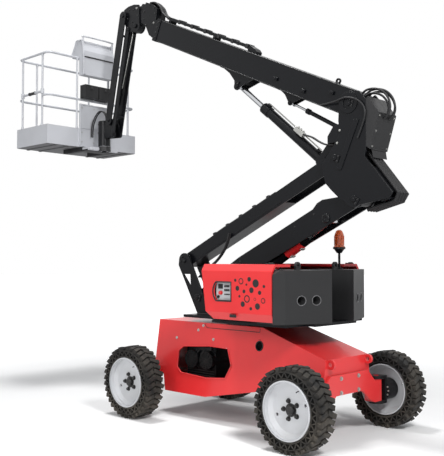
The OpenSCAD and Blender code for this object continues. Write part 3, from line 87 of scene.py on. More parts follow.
# %% Camera
PICTURE_W, FOCAL_LEN, SENSOR_W = 444, 761.08, 36
camera_data = bpy.data.cameras.new("camera")
camera = bpy.data.objects.new("camera", camera_data)
scene.collection.objects.link(camera)
camera.location = place(-5230.7, 5941.2, 1674.9)
yaw, pitch = math.radians(-46.015), math.radians(2.287)
aim = Vector((math.cos(yaw) * math.cos(pitch), math.sin(yaw) * math.cos(pitch), math.sin(pitch)))
camera.rotation_euler = aim.to_track_quat("-Z", "Y").to_euler()
camera_data.sensor_fit = "HORIZONTAL"
camera_data.sensor_width = SENSOR_W
camera_data.lens = FOCAL_LEN * SENSOR_W / PICTURE_W
camera_data.clip_end = 200
scene.camera = camera
scene.view_settings.view_transform = "Standard"
print("camera at", [round(v, 2) for v in camera.location])

# %% [markdown]
# Paint chips where plates meet an edge. A bevel lookup finds edges on any mesh: near an edge the
# rounded normal leans away from the flat one. The lean, broken up by noise, becomes a wear mask.
# The group is built once and each paint gives it its own amount.

# %% Shader group: worn edges
FLOAT, VECTOR = "NodeSocketFloat", "NodeSocketVector"


def group(name, inputs, outputs):
    tree = bpy.data.node_groups.new(name, "ShaderNodeTree")
    for kind, label, default in inputs:
        s = tree.interface.new_socket(label, in_out="INPUT", socket_type=kind)
        if default is not None:
            s.default_value = default
    for kind, label in outputs:
        tree.interface.new_socket(label, in_out="OUTPUT", socket_type=kind)
    return tree, tree.nodes.new("NodeGroupInput"), tree.nodes.new("NodeGroupOutput")


def maths(tree, kind, a, b=None, clamp=False):
    n = tree.nodes.new("ShaderNodeMath")
    n.operation, n.use_clamp = kind, clamp
    for i, v in enumerate((a, b)):
        if v is None:
            continue
        if isinstance(v, (int, float)):
            n.inputs[i].default_value = v
        else:
            tree.links.new(v, n.inputs[i])
    return n.outputs[0]


def contrast(tree, value, start, gain):
    return maths(tree, "MULTIPLY", maths(tree, "SUBTRACT", value, start), gain, True)


def noise(tree, where, scale, detail=3.0, rough=0.55):
    n = tree.nodes.new("ShaderNodeTexNoise")
    n.inputs["Scale"].default_value = scale
    n.inputs["Detail"].default_value = detail
    n.inputs["Roughness"].default_value = rough
    tree.links.new(where, n.inputs["Vector"])
    return n.outputs[0]


def blend_colour(tree, fac, a, b):
    n = tree.nodes.new("ShaderNodeMix")
    n.data_type = "RGBA"
    tree.links.new(fac, n.inputs["Factor"])
    for key, v in (("A", a), ("B", b)):
        sock = [s for s in n.inputs if s.name == key and s.type == "RGBA"][0]
        if isinstance(v, tuple):
            sock.default_value = v
        else:
            tree.links.new(v, sock)
    return [s for s in n.outputs if s.type == "RGBA"][0]


def object_coords(tree):
    return tree.nodes.new("ShaderNodeTexCoord").outputs["Object"]


def make_edge_group():
    tree, gi, go = group("worn_edges", [(FLOAT, "Radius", 0.006), (FLOAT, "Amount", 0.5)],
                         [(FLOAT, "Mask"), (VECTOR, "Soft Normal")])
    bevel = tree.nodes.new("ShaderNodeBevel")
    bevel.samples = 4
    tree.links.new(gi.outputs["Radius"], bevel.inputs["Radius"])
    flat = tree.nodes.new("ShaderNodeNewGeometry")
    dot = tree.nodes.new("ShaderNodeVectorMath")
    dot.operation = "DOT_PRODUCT"
    tree.links.new(bevel.outputs[0], dot.inputs[0])
    tree.links.new(flat.outputs["Normal"], dot.inputs[1])
    lean = maths(tree, "MULTIPLY", maths(tree, "SUBTRACT", 1.0, dot.outputs["Value"]), 3.0, True)
    chips = contrast(tree, noise(tree, object_coords(tree), 26, 6, 0.7), 0.47, 8)
    mask = maths(tree, "MULTIPLY", maths(tree, "MULTIPLY", lean, chips), gi.outputs["Amount"], True)
    tree.links.new(mask, go.inputs["Mask"])
    tree.links.new(bevel.outputs[0], go.inputs["Soft Normal"])
    return tree


EDGES = make_edge_group()
print("group worn_edges with", len(EDGES.nodes), "nodes")

# %% [markdown]
# Work machines gather dust: thick near the ground, thin higher up, and more on faces that look up.
# Height comes from the Object coordinates, because every piece sits at the origin.

# %% Shader group: settled dust


def make_dust_group():
    tree, gi, go = group("settled_dust", [(FLOAT, "Amount", 0.3), (FLOAT, "Reach", 0.9)], [(FLOAT, "Mask")])
    where = object_coords(tree)
    parts = tree.nodes.new("ShaderNodeSeparateXYZ")
    tree.links.new(where, parts.inputs[0])
    low = maths(tree, "SUBTRACT", 1.0, maths(tree, "DIVIDE", parts.outputs["Z"], gi.outputs["Reach"]), True)
    face = tree.nodes.new("ShaderNodeSeparateXYZ")
    tree.links.new(tree.nodes.new("ShaderNodeNewGeometry").outputs["Normal"], face.inputs[0])
    top = contrast(tree, face.outputs["Z"], 0.4, 0.5)
    patch = contrast(tree, noise(tree, where, 5.5, 6, 0.62), 0.36, 2.6)
    both = maths(tree, "ADD", maths(tree, "MULTIPLY", low, 0.8), top, True)
    tree.links.new(maths(tree, "MULTIPLY", maths(tree, "MULTIPLY", both, patch), gi.outputs["Amount"], True),
                   go.inputs["Mask"])
    return tree


DUST = make_dust_group()
print("group settled_dust with", len(DUST.nodes), "nodes")

# %% [markdown]
# Sprayed paint is never quite flat. A fine noise gives the orange peel of gloss paint, or the sand of
# a casting, and a broad one shifts the tone a little from place to place.

# %% Shader group: surface grain


def make_grain_group():
    tree, gi, go = group("surface_grain", [(FLOAT, "Fine", 220.0), (FLOAT, "Broad", 3.0)],
                         [(FLOAT, "Height"), (FLOAT, "Tone")])
    where = object_coords(tree)
    for label, key, detail in (("Fine", "Height", 2.0), ("Broad", "Tone", 5.0)):
        n = tree.nodes.new("ShaderNodeTexNoise")
        n.inputs["Detail"].default_value = detail
        tree.links.new(where, n.inputs["Vector"])
        tree.links.new(gi.outputs[label], n.inputs["Scale"])
        tree.links.new(n.outputs[0], go.inputs[key])
    return tree


GRAIN = make_grain_group()
print("group surface_grain with", len(GRAIN.nodes), "nodes")

# %% [markdown]
# One function joins the three groups into a finish. The shader itself stays in the material, and what
# is the same all over, such as the coat, is set straight on its socket. A low spill paints shade into a
# strong colour for bounced light: diffuse bounces see it dark grey, so it does not tint the floor beside it.

# %% Finishes
SAND, SHADE = (0.36, 0.31, 0.25, 1), (0.06, 0.06, 0.06, 1)


def finish(name, colour, rough=0.35, metal=0.0, coat=0.0, bare=(0.30, 0.30, 0.31, 1), wear=0.3, radius=0.006,
           dust=0.2, fine=220.0, broad=3.0, bump=0.05, tone=0.12, specular=0.5, dust_colour=SAND, spill=1.0):
    mat = bpy.data.materials.new(name)
    mat.use_nodes = True
    tree = mat.node_tree
    shader = tree.nodes["Principled BSDF"]

    def use(grp, **values):
        n = tree.nodes.new("ShaderNodeGroup")
        n.node_tree = grp
        for k, v in values.items():
            n.inputs[k].default_value = v
        return n

    edges = use(EDGES, Radius=radius, Amount=wear)
    settled = use(DUST, Amount=dust)
    grain = use(GRAIN, Fine=fine, Broad=broad)
    dark = tuple(c * (1 - tone) for c in colour) + (1,)
    light = tuple(min(1.0, c * (1 + tone)) for c in colour) + (1,)
    paint = blend_colour(tree, grain.outputs["Tone"], dark, light)
    worn = blend_colour(tree, edges.outputs["Mask"], paint, bare)
    dust_and_bounce_shade = blend_colour(tree, settled.outputs["Mask"], worn, dust_colour)
    # Painted shade: for diffuse bounce rays the colour is blended towards the dark grey SHADE by 1 - spill.
    if spill < 1:
        bounced = tree.nodes.new("ShaderNodeLightPath").outputs["Is Diffuse Ray"]
        dust_and_bounce_shade = blend_colour(tree, maths(tree, "MULTIPLY", bounced, 1 - spill), dust_and_bounce_shade, SHADE)
    tree.links.new(dust_and_bounce_shade, shader.inputs["Base Color"])
    haze = maths(tree, "MULTIPLY", settled.outputs["Mask"], 0.5)
    uneven = maths(tree, "MULTIPLY", maths(tree, "SUBTRACT", grain.outputs["Tone"], 0.5), 0.18)
    matt = maths(tree, "ADD", maths(tree, "ADD", uneven, rough), haze, True)
    tree.links.new(matt, shader.inputs["Roughness"])
    lift = tree.nodes.new("ShaderNodeBump")
    lift.inputs["Strength"].default_value = bump
    lift.inputs["Distance"].default_value = 0.002
    tree.links.new(grain.outputs["Height"], lift.inputs["Height"])
    tree.links.new(edges.outputs["Soft Normal"], lift.inputs["Normal"])
    tree.links.new(lift.outputs[0], shader.inputs["Normal"])
    shader.inputs["Metallic"].default_value = metal
    shader.inputs["Coat Weight"].default_value = coat
    shader.inputs["Coat Roughness"].default_value = 0.12
    shader.inputs["Specular IOR Level"].default_value = specular
    return mat


FINISH = {
    # red_paint shows painted shade to bounced light: spill 0.15 makes it mostly dark grey to diffuse bounces.
    "red_paint": finish("red_paint", (0.78, 0.024, 0.027), 0.34, coat=0.25, wear=0.18, dust=0.07, tone=0.07,
                        spill=0.15),
    "black_paint": finish("black_paint", (0.0048, 0.0052, 0.0066), 0.3, wear=0.2, dust=0.05, specular=0.2,
                          bare=(0.12, 0.12, 0.125, 1)),
    "grey_paint": finish("grey_paint", (0.021, 0.021, 0.022), 0.42, wear=0.25, dust=0.08, fine=140, bump=0.12,
                         specular=0.3, bare=(0.16, 0.16, 0.16, 1)),
    "disc_paint": finish("disc_paint", (0.60, 0.61, 0.63), 0.42, wear=0.3, dust=0.25,
                         bare=(0.2, 0.2, 0.2, 1)),
    "pale_paint": finish("pale_paint", (0.50, 0.51, 0.54), 0.42, wear=0.25, dust=0.12, bump=0.08,
                         bare=(0.36, 0.36, 0.37, 1)),
    "tyre_rubber": finish("tyre_rubber", (0.012, 0.012, 0.012), 0.72, wear=0.35, dust=0.45, fine=90, bump=0.3,
                          specular=0.3, bare=(0.045, 0.044, 0.042, 1), radius=0.01),
    "hose_rubber": finish("hose_rubber", (0.010, 0.010, 0.011), 0.55, wear=0.1, dust=0.1, fine=160, bump=0.15,
                          specular=0.35, bare=(0.03, 0.03, 0.03, 1), radius=0.002),
    "chrome_rod": finish("chrome_rod", (0.62, 0.63, 0.65), 0.14, metal=1.0, wear=0.05, dust=0.06,
                         fine=400, bump=0.02),
    "orange_lens": finish("orange_lens", (0.86, 0.13, 0.015), 0.16, coat=0.5, wear=0.05, dust=0.05, fine=60),
}
# Near-black pocket_shade is painted shade, set into pockets and holes where shade falls.
POCKET_SHADE = finish("pocket_shade", (0.002, 0.002, 0.002), 0.9, wear=0.0, dust=0.05, fine=120, bump=0.2,
                specular=0.1)
# This mid grey is painted shade on the pan under the platform, and also draws the thin rims of the weight
# pockets.
PAN_SHADE_AND_RIM_GREY = finish("pan_shade_and_rim_grey", (0.13, 0.13, 0.135), 0.5, wear=0.2, dust=0.1, fine=120, bump=0.12)
ZINC = finish("zinc_plate", (0.46, 0.46, 0.44), 0.34, metal=0.9, wear=0.15, dust=0.12, fine=300,
              tone=0.2, radius=0.001)
SATIN_BLACK = finish("satin_plastic", (0.012, 0.012, 0.013), 0.48, wear=0.1, dust=0.1, fine=260, bump=0.1,
                     specular=0.4, bare=(0.05, 0.05, 0.05, 1), radius=0.002)
for item in frame["record"]["subparts"]:
    mesh = nodes[item["node"]].data
    mesh.materials.clear()
    mesh.materials.append(FINISH[item["material_slot"]])
loose = (POCKET_SHADE, PAN_SHADE_AND_RIM_GREY, ZINC, SATIN_BLACK)
print("finishes:", len(FINISH) + len(loose), "on", len(nodes), "solids")

# %% [markdown]
# Hoses, loops and handles are tubes along a path. Geometry Nodes sweep a circle along a curve, so one
# tree with a radius and a number of sides makes all of them. Helpers turn the result into a plain mesh.

# %% Tube tree and helpers
WHOLE, ROTATION, PAINT = "NodeSocketInt", "NodeSocketRotation", "NodeSocketMaterial"


def node_tree(name, inputs):
    tree = bpy.data.node_groups.new(name, "GeometryNodeTree")
    tree.interface.new_socket("Geometry", in_out="INPUT", socket_type="NodeSocketGeometry")
    for kind, label, default in inputs:
        s = tree.interface.new_socket(label, in_out="INPUT", socket_type=kind)
        if default is not None:
            s.default_value = default
    tree.interface.new_socket("Geometry", in_out="OUTPUT", socket_type="NodeSocketGeometry")
    return tree, tree.nodes.new("NodeGroupInput"), tree.nodes.new("NodeGroupOutput")


def close_tree(tree, gi, go, geometry):
    real = tree.nodes.new("GeometryNodeRealizeInstances")
    paint = tree.nodes.new("GeometryNodeSetMaterial")
    tree.links.new(geometry, real.inputs[0])
    tree.links.new(real.outputs[0], paint.inputs["Geometry"])
    tree.links.new(gi.outputs["Finish"], paint.inputs["Material"])
    tree.links.new(paint.outputs[0], go.inputs[0])


def make_tube_tree():
    tree, gi, go = node_tree("swept_tube", [
        (FLOAT, "Radius", 0.01), (WHOLE, "Sides", 14), (PAINT, "Finish", None)])
    ring = tree.nodes.new("GeometryNodeCurvePrimitiveCircle")
    sweep = tree.nodes.new("GeometryNodeCurveToMesh")
    sweep.inputs["Fill Caps"].default_value = True
    smooth = tree.nodes.new("GeometryNodeSetShadeSmooth")
    tree.links.new(gi.outputs["Radius"], ring.inputs["Radius"])
    tree.links.new(gi.outputs["Sides"], ring.inputs["Resolution"])
    tree.links.new(gi.outputs["Geometry"], sweep.inputs["Curve"])
    tree.links.new(ring.outputs["Curve"], sweep.inputs["Profile Curve"])
    tree.links.new(sweep.outputs[0], smooth.inputs["Geometry"])
    close_tree(tree, gi, go, smooth.outputs[0])
    return tree


TUBE = make_tube_tree()


def settle(obj):
    bpy.context.view_layer.update()
    dg = bpy.context.evaluated_depsgraph_get()
    mesh = bpy.data.meshes.new_from_object(obj.evaluated_get(dg), depsgraph=dg)
    mesh.name = obj.name
    plain = bpy.data.objects.new(obj.name, mesh)
    bpy.data.objects.remove(obj)
    scene.collection.objects.link(plain)
    plain.name = mesh.name
    return plain


def dress(obj, tree, **values):
    mod = obj.modifiers.new("make", "NODES")
    mod.node_group = tree
    for item in tree.interface.items_tree:
        if item.in_out == "INPUT" and item.name in values:
            mod[item.identifier] = values[item.name]
    return settle(obj)


def keep(obj, body):
    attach(obj, body)
    return obj


def smooth_path(points, per=8):
    pts = [Vector(p) for p in points]
    ends = [pts[0] * 2 - pts[1]] + pts + [pts[-1] * 2 - pts[-2]]
    out = []
    for i in range(1, len(ends) - 2):
        a, b, c, d = ends[i - 1:i + 3]
        for k in range(per):
            t = k / per
            bend, swing = 2 * a - 5 * b + 4 * c - d, 3 * b - a - 3 * c + d
            out.append(0.5 * (2 * b + (c - a) * t + bend * t * t + swing * t ** 3))
    return out + [pts[-1]]


def path_object(name, paths):
    curve = bpy.data.curves.new(name, "CURVE")
    curve.dimensions = "3D"
    for path in paths:
        spline = curve.splines.new("POLY")
        spline.points.add(len(path) - 1)
        for p, co in zip(spline.points, path):
            p.co = (*co, 1)
    obj = bpy.data.objects.new(name, curve)
    scene.collection.objects.link(obj)
    return obj


def tube(name, paths, radius, mat, body, sides=14):
    made = dress(path_object(name, paths), TUBE, Radius=radius, Sides=sides, Finish=mat)
    return keep(made, body)


print("tree swept_tube with", len(TUBE.nodes), "nodes")

# %% [markdown]
# Some hoses hang free where two bodies meet, so each is a cord of its own with its real length. A first
# bundle leaves the tail of the boom in loose loops and dives into the hood on the link.

# %% Free hoses at the boom tail


def free_hose(name, points, radius):
    path = smooth_path([place(*p) for p in points], 6)
    obj = dress(path_object(name, [path]), TUBE, Radius=radius / 1000, Sides=12, Finish=FINISH["hose_rubber"])
    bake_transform(obj)
    length = sum((q - p).length for p, q in zip(path, path[1:]))
    return round(length, 3)


LOOP = [(-1322, 3188), (-1390, 3222), (-1476, 3220), (-1556, 3184), (-1614, 3116), (-1636, 3036),
        (-1616, 2968), (-1570, 2930)]
hose_lengths = []
for i, (y, reach) in enumerate(((-54, 0.94), (-20, 1.0), (16, 0.86), (50, 0.98))):
    loop = [(-1330 + reach * (x + 1330), y, 2930 + reach * (z - 2930)) for x, z in LOOP]
    hose_lengths.append(free_hose("tail_loop_%d" % (i + 1), loop, 10.5))
print("tail loops:", hose_lengths)

# %% [markdown]
# More free hoses cross the pivots: one along the boom over the link's cheek, two from the valve on the
# lift cylinder, two up the tower to the upper arm, and two over the rotator of the platform.

# %% Free hoses at the pivots
hose_lengths = [free_hose("pivot_hose", [
    (-900, 106, 3136), (-960, 112, 3134), (-1114, 152, 3136), (-1230, 170, 3150), (-1338, 170, 3123),
    (-1412, 162, 3062), (-1436, 158, 2980), (-1402, 154, 2874), (-1350, 152, 2766)], 9)]
for i, y in enumerate((40, 62)):
    hose_lengths.append(free_hose("lift_hose_%d" % (i + 1), [
        (-640, y - 10, 2890), (-700, y, 2872), (-766, y, 2846), (-859, y + 20, 2794), (-940, y + 40, 2758),
        (-1010, y + 58, 2742), (-1060, y + 60, 2736)], 8))
for i, y in enumerate((118, 142)):
    hose_lengths.append(free_hose("tower_hose_%d" % (i + 1), [
        (716, y + 4, 1470), (640, y + 3, 1530), (556, y + 2, 1584), (467, y, 1640), (393, y, 1706),
        (334, y - 2, 1780), (296, y - 6, 1860), (276, y - 10, 1940)], 9))
for i, y in enumerate((46, 70)):
    hose_lengths.append(free_hose("rotator_hose_%d" % (i + 1), [
        (2470, y, 3392), (2484, y, 3470), (2536, y, 3532), (2616, y, 3552), (2692, y, 3510),
        (2752, y, 3430), (2780, y, 3340), (2786, y, 3240)], 8))
print("pivot hoses:", hose_lengths)

# %% [markdown]
# Small plates, caps and knobs are collected in one mesh per piece. Everything is given in millimetres
# of the side view.

# %% Kit for small parts


class Kit:
    def __init__(self):
        self.bm = bmesh.new()

    def prism(self, outline, push, soft=0.0):
        old = set(self.bm.faces)
        face = self.bm.faces.new([self.bm.verts.new(place(*p)) for p in outline])
        grown = bmesh.ops.extrude_face_region(self.bm, geom=[face])
        far = [g for g in grown["geom"] if isinstance(g, bmesh.types.BMVert)]
        bmesh.ops.translate(self.bm, verts=far, vec=Vector(push) / 1000)
        new = [f for f in self.bm.faces if f not in old]
        bmesh.ops.recalc_face_normals(self.bm, faces=new)
        if soft:
            edges = list({e for f in new for e in f.edges})
            bmesh.ops.bevel(self.bm, geom=edges, offset=soft / 1000, segments=2, affect="EDGES", profile=0.6)
        return self

    def block(self, centre, size, angle=0.0, soft=2.0):
        x, y, z = centre
        half_x, half_z = size[0] / 2, size[2] / 2
        square = ((-1, -1), (1, -1), (1, 1), (-1, 1))
        corners = [step((x, z), angle, a * half_x, b * half_z) for a, b in square]
        return self.prism([(p[0], y - size[1] / 2, p[1]) for p in corners], (0, size[1], 0), soft)

    def lathe(self, centre, axis, profile, sides=24):
        turn = Vector(axis).to_track_quat("Z", "Y").to_matrix()
        middle = place(*centre)
        rings = []
        for r, h in profile:
            count = 1 if r == 0 else sides
            rings.append([self.bm.verts.new(middle + turn @ Vector((
                r * math.cos(2 * math.pi * i / sides), r * math.sin(2 * math.pi * i / sides), h)) / 1000)
                for i in range(count)])
        new = []
        for low, high in zip(rings, rings[1:]):
            for i in range(sides):
                j = (i + 1) % sides
                quad = [low[i % len(low)], low[j % len(low)], high[j % len(high)], high[i % len(high)]]
                new.append(self.bm.faces.new(list(dict.fromkeys(quad))))
        for ring in (rings[0], rings[-1]):
            if len(ring) > 1:
                new.append(self.bm.faces.new(ring))
        bmesh.ops.recalc_face_normals(self.bm, faces=new)
        return self

    def ring(self, centre, axis, inner, outer, height, sides=28):
        turn = Vector(axis).to_track_quat("Z", "Y").to_matrix()
        middle = place(*centre)
        loops = [[self.bm.verts.new(middle + turn @ Vector((
            r * math.cos(2 * math.pi * i / sides), r * math.sin(2 * math.pi * i / sides), h)) / 1000)
            for i in range(sides)] for r, h in ((inner, 0), (outer, 0), (outer, height), (inner, height))]
        new = []
        for a, b in zip(loops, loops[1:] + loops[:1]):
            for i in range(sides):
                j = (i + 1) % sides
                new.append(self.bm.faces.new([a[i], a[j], b[j], b[i]]))
        bmesh.ops.recalc_face_normals(self.bm, faces=new)
        return self

    def done(self, name, mat, body, slot_name):
        mesh = bpy.data.meshes.new(name)
        self.bm.to_mesh(mesh)
        self.bm.free()
        mesh.materials.append(mat)
        obj = bpy.data.objects.new(name, mesh)
        scene.collection.objects.link(obj)
        return keep(obj, body)


def spot(start, angle, along, above=0.0):
    c, s = math.cos(math.radians(angle)), math.sin(math.radians(angle))
    n = (-s, c) if c > 0 else (s, -c)
    return (start[0] + along * c + above * n[0], start[1] + along * s + above * n[1])


def at(p, y):
    return place(p[0], y, p[1])


print("kit for prisms, blocks, lathed forms and rings")

# %% [markdown]
# Bolts repeat all over the machine. A tree puts a hexagon head on a washer at each point of a mesh, and
# turns it to the direction stored with the point. A second tree sets blocks in a ring, for ribs and fins.

# %% Bolt and ring trees


def add(tree, kind, **values):
    n = tree.nodes.new(kind)
    for k, v in values.items():
        n.inputs[k.replace("_", " ")].default_value = v
    return n


def make_bolt_tree():
    tree, gi, go = node_tree("hex_bolts", [
        (FLOAT, "Radius", 0.01), (FLOAT, "Height", 0.008), (WHOLE, "Sides", 6), (PAINT, "Finish", None)])
    head = tree.nodes.new("GeometryNodeMeshCylinder")
    washer = add(tree, "GeometryNodeMeshCylinder", Vertices=18)
    tree.links.new(gi.outputs["Sides"], head.inputs["Vertices"])
    tree.links.new(gi.outputs["Radius"], head.inputs["Radius"])
    tree.links.new(gi.outputs["Height"], head.inputs["Depth"])
    tree.links.new(maths(tree, "MULTIPLY", gi.outputs["Radius"], 1.4), washer.inputs["Radius"])
    tree.links.new(maths(tree, "MULTIPLY", gi.outputs["Height"], 0.35), washer.inputs["Depth"])
    rise = tree.nodes.new("ShaderNodeCombineXYZ")
    tree.links.new(maths(tree, "MULTIPLY", gi.outputs["Height"], 0.6), rise.inputs["Z"])
    lifted = tree.nodes.new("GeometryNodeTransform")
    tree.links.new(head.outputs["Mesh"], lifted.inputs["Geometry"])
    tree.links.new(rise.outputs[0], lifted.inputs["Translation"])
    join = tree.nodes.new("GeometryNodeJoinGeometry")
    tree.links.new(lifted.outputs[0], join.inputs[0])
    tree.links.new(washer.outputs["Mesh"], join.inputs[0])
    axis = tree.nodes.new("GeometryNodeInputNamedAttribute")
    axis.data_type = "FLOAT_VECTOR"
    axis.inputs["Name"].default_value = "axis"
    align = tree.nodes.new("FunctionNodeAlignRotationToVector")
    align.axis = "Z"
    tree.links.new(axis.outputs["Attribute"], align.inputs["Vector"])
    dots = tree.nodes.new("GeometryNodeMeshToPoints")
    copies = tree.nodes.new("GeometryNodeInstanceOnPoints")
    tree.links.new(gi.outputs["Geometry"], dots.inputs["Mesh"])
    tree.links.new(dots.outputs[0], copies.inputs["Points"])
    tree.links.new(join.outputs[0], copies.inputs["Instance"])
    tree.links.new(align.outputs[0], copies.inputs["Rotation"])
    close_tree(tree, gi, go, copies.outputs[0])
    return tree


def make_ring_tree():
    tree, gi, go = node_tree("ring_of_blocks", [
        (WHOLE, "Count", 12), (FLOAT, "Radius", 0.1), (VECTOR, "Size", (0.01, 0.01, 0.01)),
        (VECTOR, "Centre", (0, 0, 0)), (ROTATION, "Turn", None), (FLOAT, "Slant", 0.0), (FLOAT, "Lean", 0.0),
        (PAINT, "Finish", None)])
    circle = tree.nodes.new("GeometryNodeMeshCircle")
    block = tree.nodes.new("GeometryNodeMeshCube")
    spots = tree.nodes.new("GeometryNodeMeshToPoints")
    align = tree.nodes.new("FunctionNodeAlignRotationToVector")
    align.axis = "X"
    align.pivot_axis = "Z"
    odd = maths(tree, "MODULO", tree.nodes.new("GeometryNodeInputIndex").outputs[0], 2.0)
    sign = maths(tree, "SUBTRACT", maths(tree, "MULTIPLY", odd, 2.0), 1.0)
    zigzag = maths(tree, "MULTIPLY", sign, gi.outputs["Slant"])
    twist = tree.nodes.new("ShaderNodeCombineXYZ")
    tree.links.new(gi.outputs["Lean"], twist.inputs["X"])
    tree.links.new(zigzag, twist.inputs["Z"])
    tilted = tree.nodes.new("FunctionNodeRotateRotation")
    tilted.rotation_space = "LOCAL"
    tree.links.new(align.outputs[0], tilted.inputs["Rotation"])
    tree.links.new(twist.outputs[0], tilted.inputs["Rotate By"])
    copies = tree.nodes.new("GeometryNodeInstanceOnPoints")
    move = tree.nodes.new("GeometryNodeTransform")
    tree.links.new(gi.outputs["Count"], circle.inputs["Vertices"])
    tree.links.new(gi.outputs["Radius"], circle.inputs["Radius"])
    tree.links.new(gi.outputs["Size"], block.inputs["Size"])
    tree.links.new(circle.outputs[0], spots.inputs["Mesh"])
    tree.links.new(tree.nodes.new("GeometryNodeInputPosition").outputs[0], align.inputs["Vector"])
    tree.links.new(spots.outputs[0], copies.inputs["Points"])
    tree.links.new(block.outputs["Mesh"], copies.inputs["Instance"])
    tree.links.new(tilted.outputs[0], copies.inputs["Rotation"])
    tree.links.new(copies.outputs[0], move.inputs["Geometry"])
    tree.links.new(gi.outputs["Centre"], move.inputs["Translation"])
    tree.links.new(gi.outputs["Turn"], move.inputs["Rotation"])
    close_tree(tree, gi, go, move.outputs[0])
    return tree


BOLTS, BLOCK_RING = make_bolt_tree(), make_ring_tree()


def bolts(name, places, radius, height, mat, body, sides=6):
    mesh = bpy.data.meshes.new(name)
    mesh.from_pydata([place(*p) for p, _ in places], [], [])
    way = mesh.attributes.new("axis", "FLOAT_VECTOR", "POINT")
    way.data.foreach_set("vector", [c for _, axis in places for c in axis])
    obj = bpy.data.objects.new(name, mesh)
    scene.collection.objects.link(obj)
    made = dress(obj, BOLTS, Radius=radius / 1000, Height=height / 1000, Sides=sides, Finish=mat)
    return keep(made, body)


def block_ring(name, centre, turn, count, radius, size, mat, body, slant=0.0, lean=0.0):
    obj = bpy.data.objects.new(name, bpy.data.meshes.new(name))
    scene.collection.objects.link(obj)
    made = dress(obj, BLOCK_RING, Count=count, Radius=radius / 1000, Size=[v / 1000 for v in size],
                 Centre=place(*centre), Turn=[math.radians(v) for v in turn], Slant=math.radians(slant),
                 Lean=math.radians(lean), Finish=mat)
    return keep(made, body)


print("trees hex_bolts and ring_of_blocks with", len(BOLTS.nodes), "and", len(BLOCK_RING.nodes), "nodes")

# %% [markdown]
# Each wheel is held by five dark nuts round a capped hub, and its valve stands beside the rim. The tyre
# has a zigzag web on both walls over a near-black ring of painted shade for its pockets, and slanted cleats
# between its lugs.

# %% Wheels
AXLE_X, AXLE_Z, WHEEL_Y = WHEELBASE / 2, 375, 755
wheel_count = 0
for end, x in (("front", AXLE_X), ("rear", -AXLE_X)):
    for side_name, side in (("left", 1), ("right", -1)):
        corner = end + "_" + side_name
        body = "wheel_" + corner
        out = (0, side, 0)
        face_y = side * (WHEEL_Y + 37.5)
        nuts = []
        for i in range(5):
            a = math.radians(72 * i)
            nuts.append(((x + 80 * math.cos(a), face_y, AXLE_Z - 80 * math.sin(a)), out))
        bolts("wheel_nuts_" + corner, nuts, 16, 20, SATIN_BLACK, body)
        Kit().lathe((x, side * (WHEEL_Y + 50), AXLE_Z), out, [
            (0, 26), (14, 26), (18, 22), (30, 21), (38.6, 14), (41, 8), (44, 0), (39, 0)
        ]).ring((x, side * (WHEEL_Y + 37.2), AXLE_Z), out, 40, 58, 5).done(
            "hub_cap_" + corner, SATIN_BLACK, body, "black_paint")
        a = math.radians(118)
        stem = [(x + r * math.cos(a), side * (WHEEL_Y + h), AXLE_Z + r * math.sin(a))
                for r, h in ((196, 36), (194, 52), (190, 66), (184, 78))]
        stem_path = smooth_path([place(*p) for p in stem], 4)
        tube("valve_" + corner, [stem_path], 0.005, SATIN_BLACK, body, 8)
        for wall, y, lean in (("outer", WHEEL_Y + 104, 24), ("inner", WHEEL_Y - 104, -24)):
            facing = (0, side if wall == "outer" else -side, 0)
            block_ring("wall_web_%s_%s" % (wall, corner), (x, side * y, AXLE_Z), (90, 0, 0), 56, 301,
                       (62, 10, 11), FINISH["tyre_rubber"], body, 33)
            # Painted shade: a flat near-black ring behind the web stands for the shade in the wall pockets.
            Kit().ring((x, side * y, AXLE_Z), facing, 274, 328, 1.5, 72).done(
                "wall_pocket_shade_%s_%s" % (wall, corner), POCKET_SHADE, body, "hose_rubber")
            Kit().ring((x, side * y, AXLE_Z), facing, 266, 277, 6, 72).ring(
                (x, side * y, AXLE_Z), facing, 322, 331, 5, 72).done(
                "wall_rings_%s_%s" % (wall, corner), FINISH["tyre_rubber"], body, "tyre_rubber")
            row_y, row_turn = (WHEEL_Y + 54, 0) if wall == "outer" else (WHEEL_Y - 54, 10)
            block_ring("cleats_%s_%s" % (wall, corner), (x, side * row_y, AXLE_Z), (90, row_turn, 0), 18, 356,
                       (26, 44, 92), FINISH["tyre_rubber"], body, 0, side * lean)
        Kit().ring((x, side * (WHEEL_Y + 108), AXLE_Z), out, 240, 247, 6, 72).done(
            "rim_edge_" + corner, FINISH["pale_paint"], body, "pale_paint")
        wheel_count += 1
print("wheels dressed:", wheel_count)

# %% [markdown]
# The hub motors have two hose unions each, and bolts on their inner rims.

# %% Hub motors
for end, x in (("front", AXLE_X), ("rear", -AXLE_X)):
    for side_name, side in (("left", 1), ("right", -1)):
        corner = end + "_" + side_name
        inward = -1 if end == "front" else 1
        kit = Kit()
        for z in (AXLE_Z - 20, AXLE_Z + 24):
            kit.lathe((x + inward * 98, side * 640, z), (inward, 0, 0), [
                (13, 0), (13, 10), (10, 12), (10, 24), (14, 25), (14, 36), (8, 38), (0, 38)], 12)
        kit.block((x + inward * 96, side * 640, AXLE_Z + 2), (14, 40, 84))
        kit.done("motor_unions_" + corner, ZINC, "knuckle_" + corner, "chrome_rod")
        rim = []
        for deg in (-24, 0, 24, 156, 180, 204):
            a = math.radians(deg)
            rim.append(((x + 92 * math.cos(a), side * 611, AXLE_Z + 92 * math.sin(a)), (0, -side, 0)))
        bolts("motor_bolts_" + corner, rim, 7, 8, ZINC, "knuckle_" + corner)
print("hub motors: 4")

# %% [markdown]
# The chassis is a welded body with bolted panels. Its sides lean, so bolts and the painted shade of its deck
# groove lean with them.

# %% Chassis sides and ends
LEAN = math.radians(8)
DECK_Z, DECK_HALF = 1002, 307


def side_at(x, z, side, out=0.0):
    y = DECK_HALF + (DECK_Z - z) * math.tan(LEAN)
    return (x, side * (y + out * math.cos(LEAN)), z + out * math.sin(LEAN))


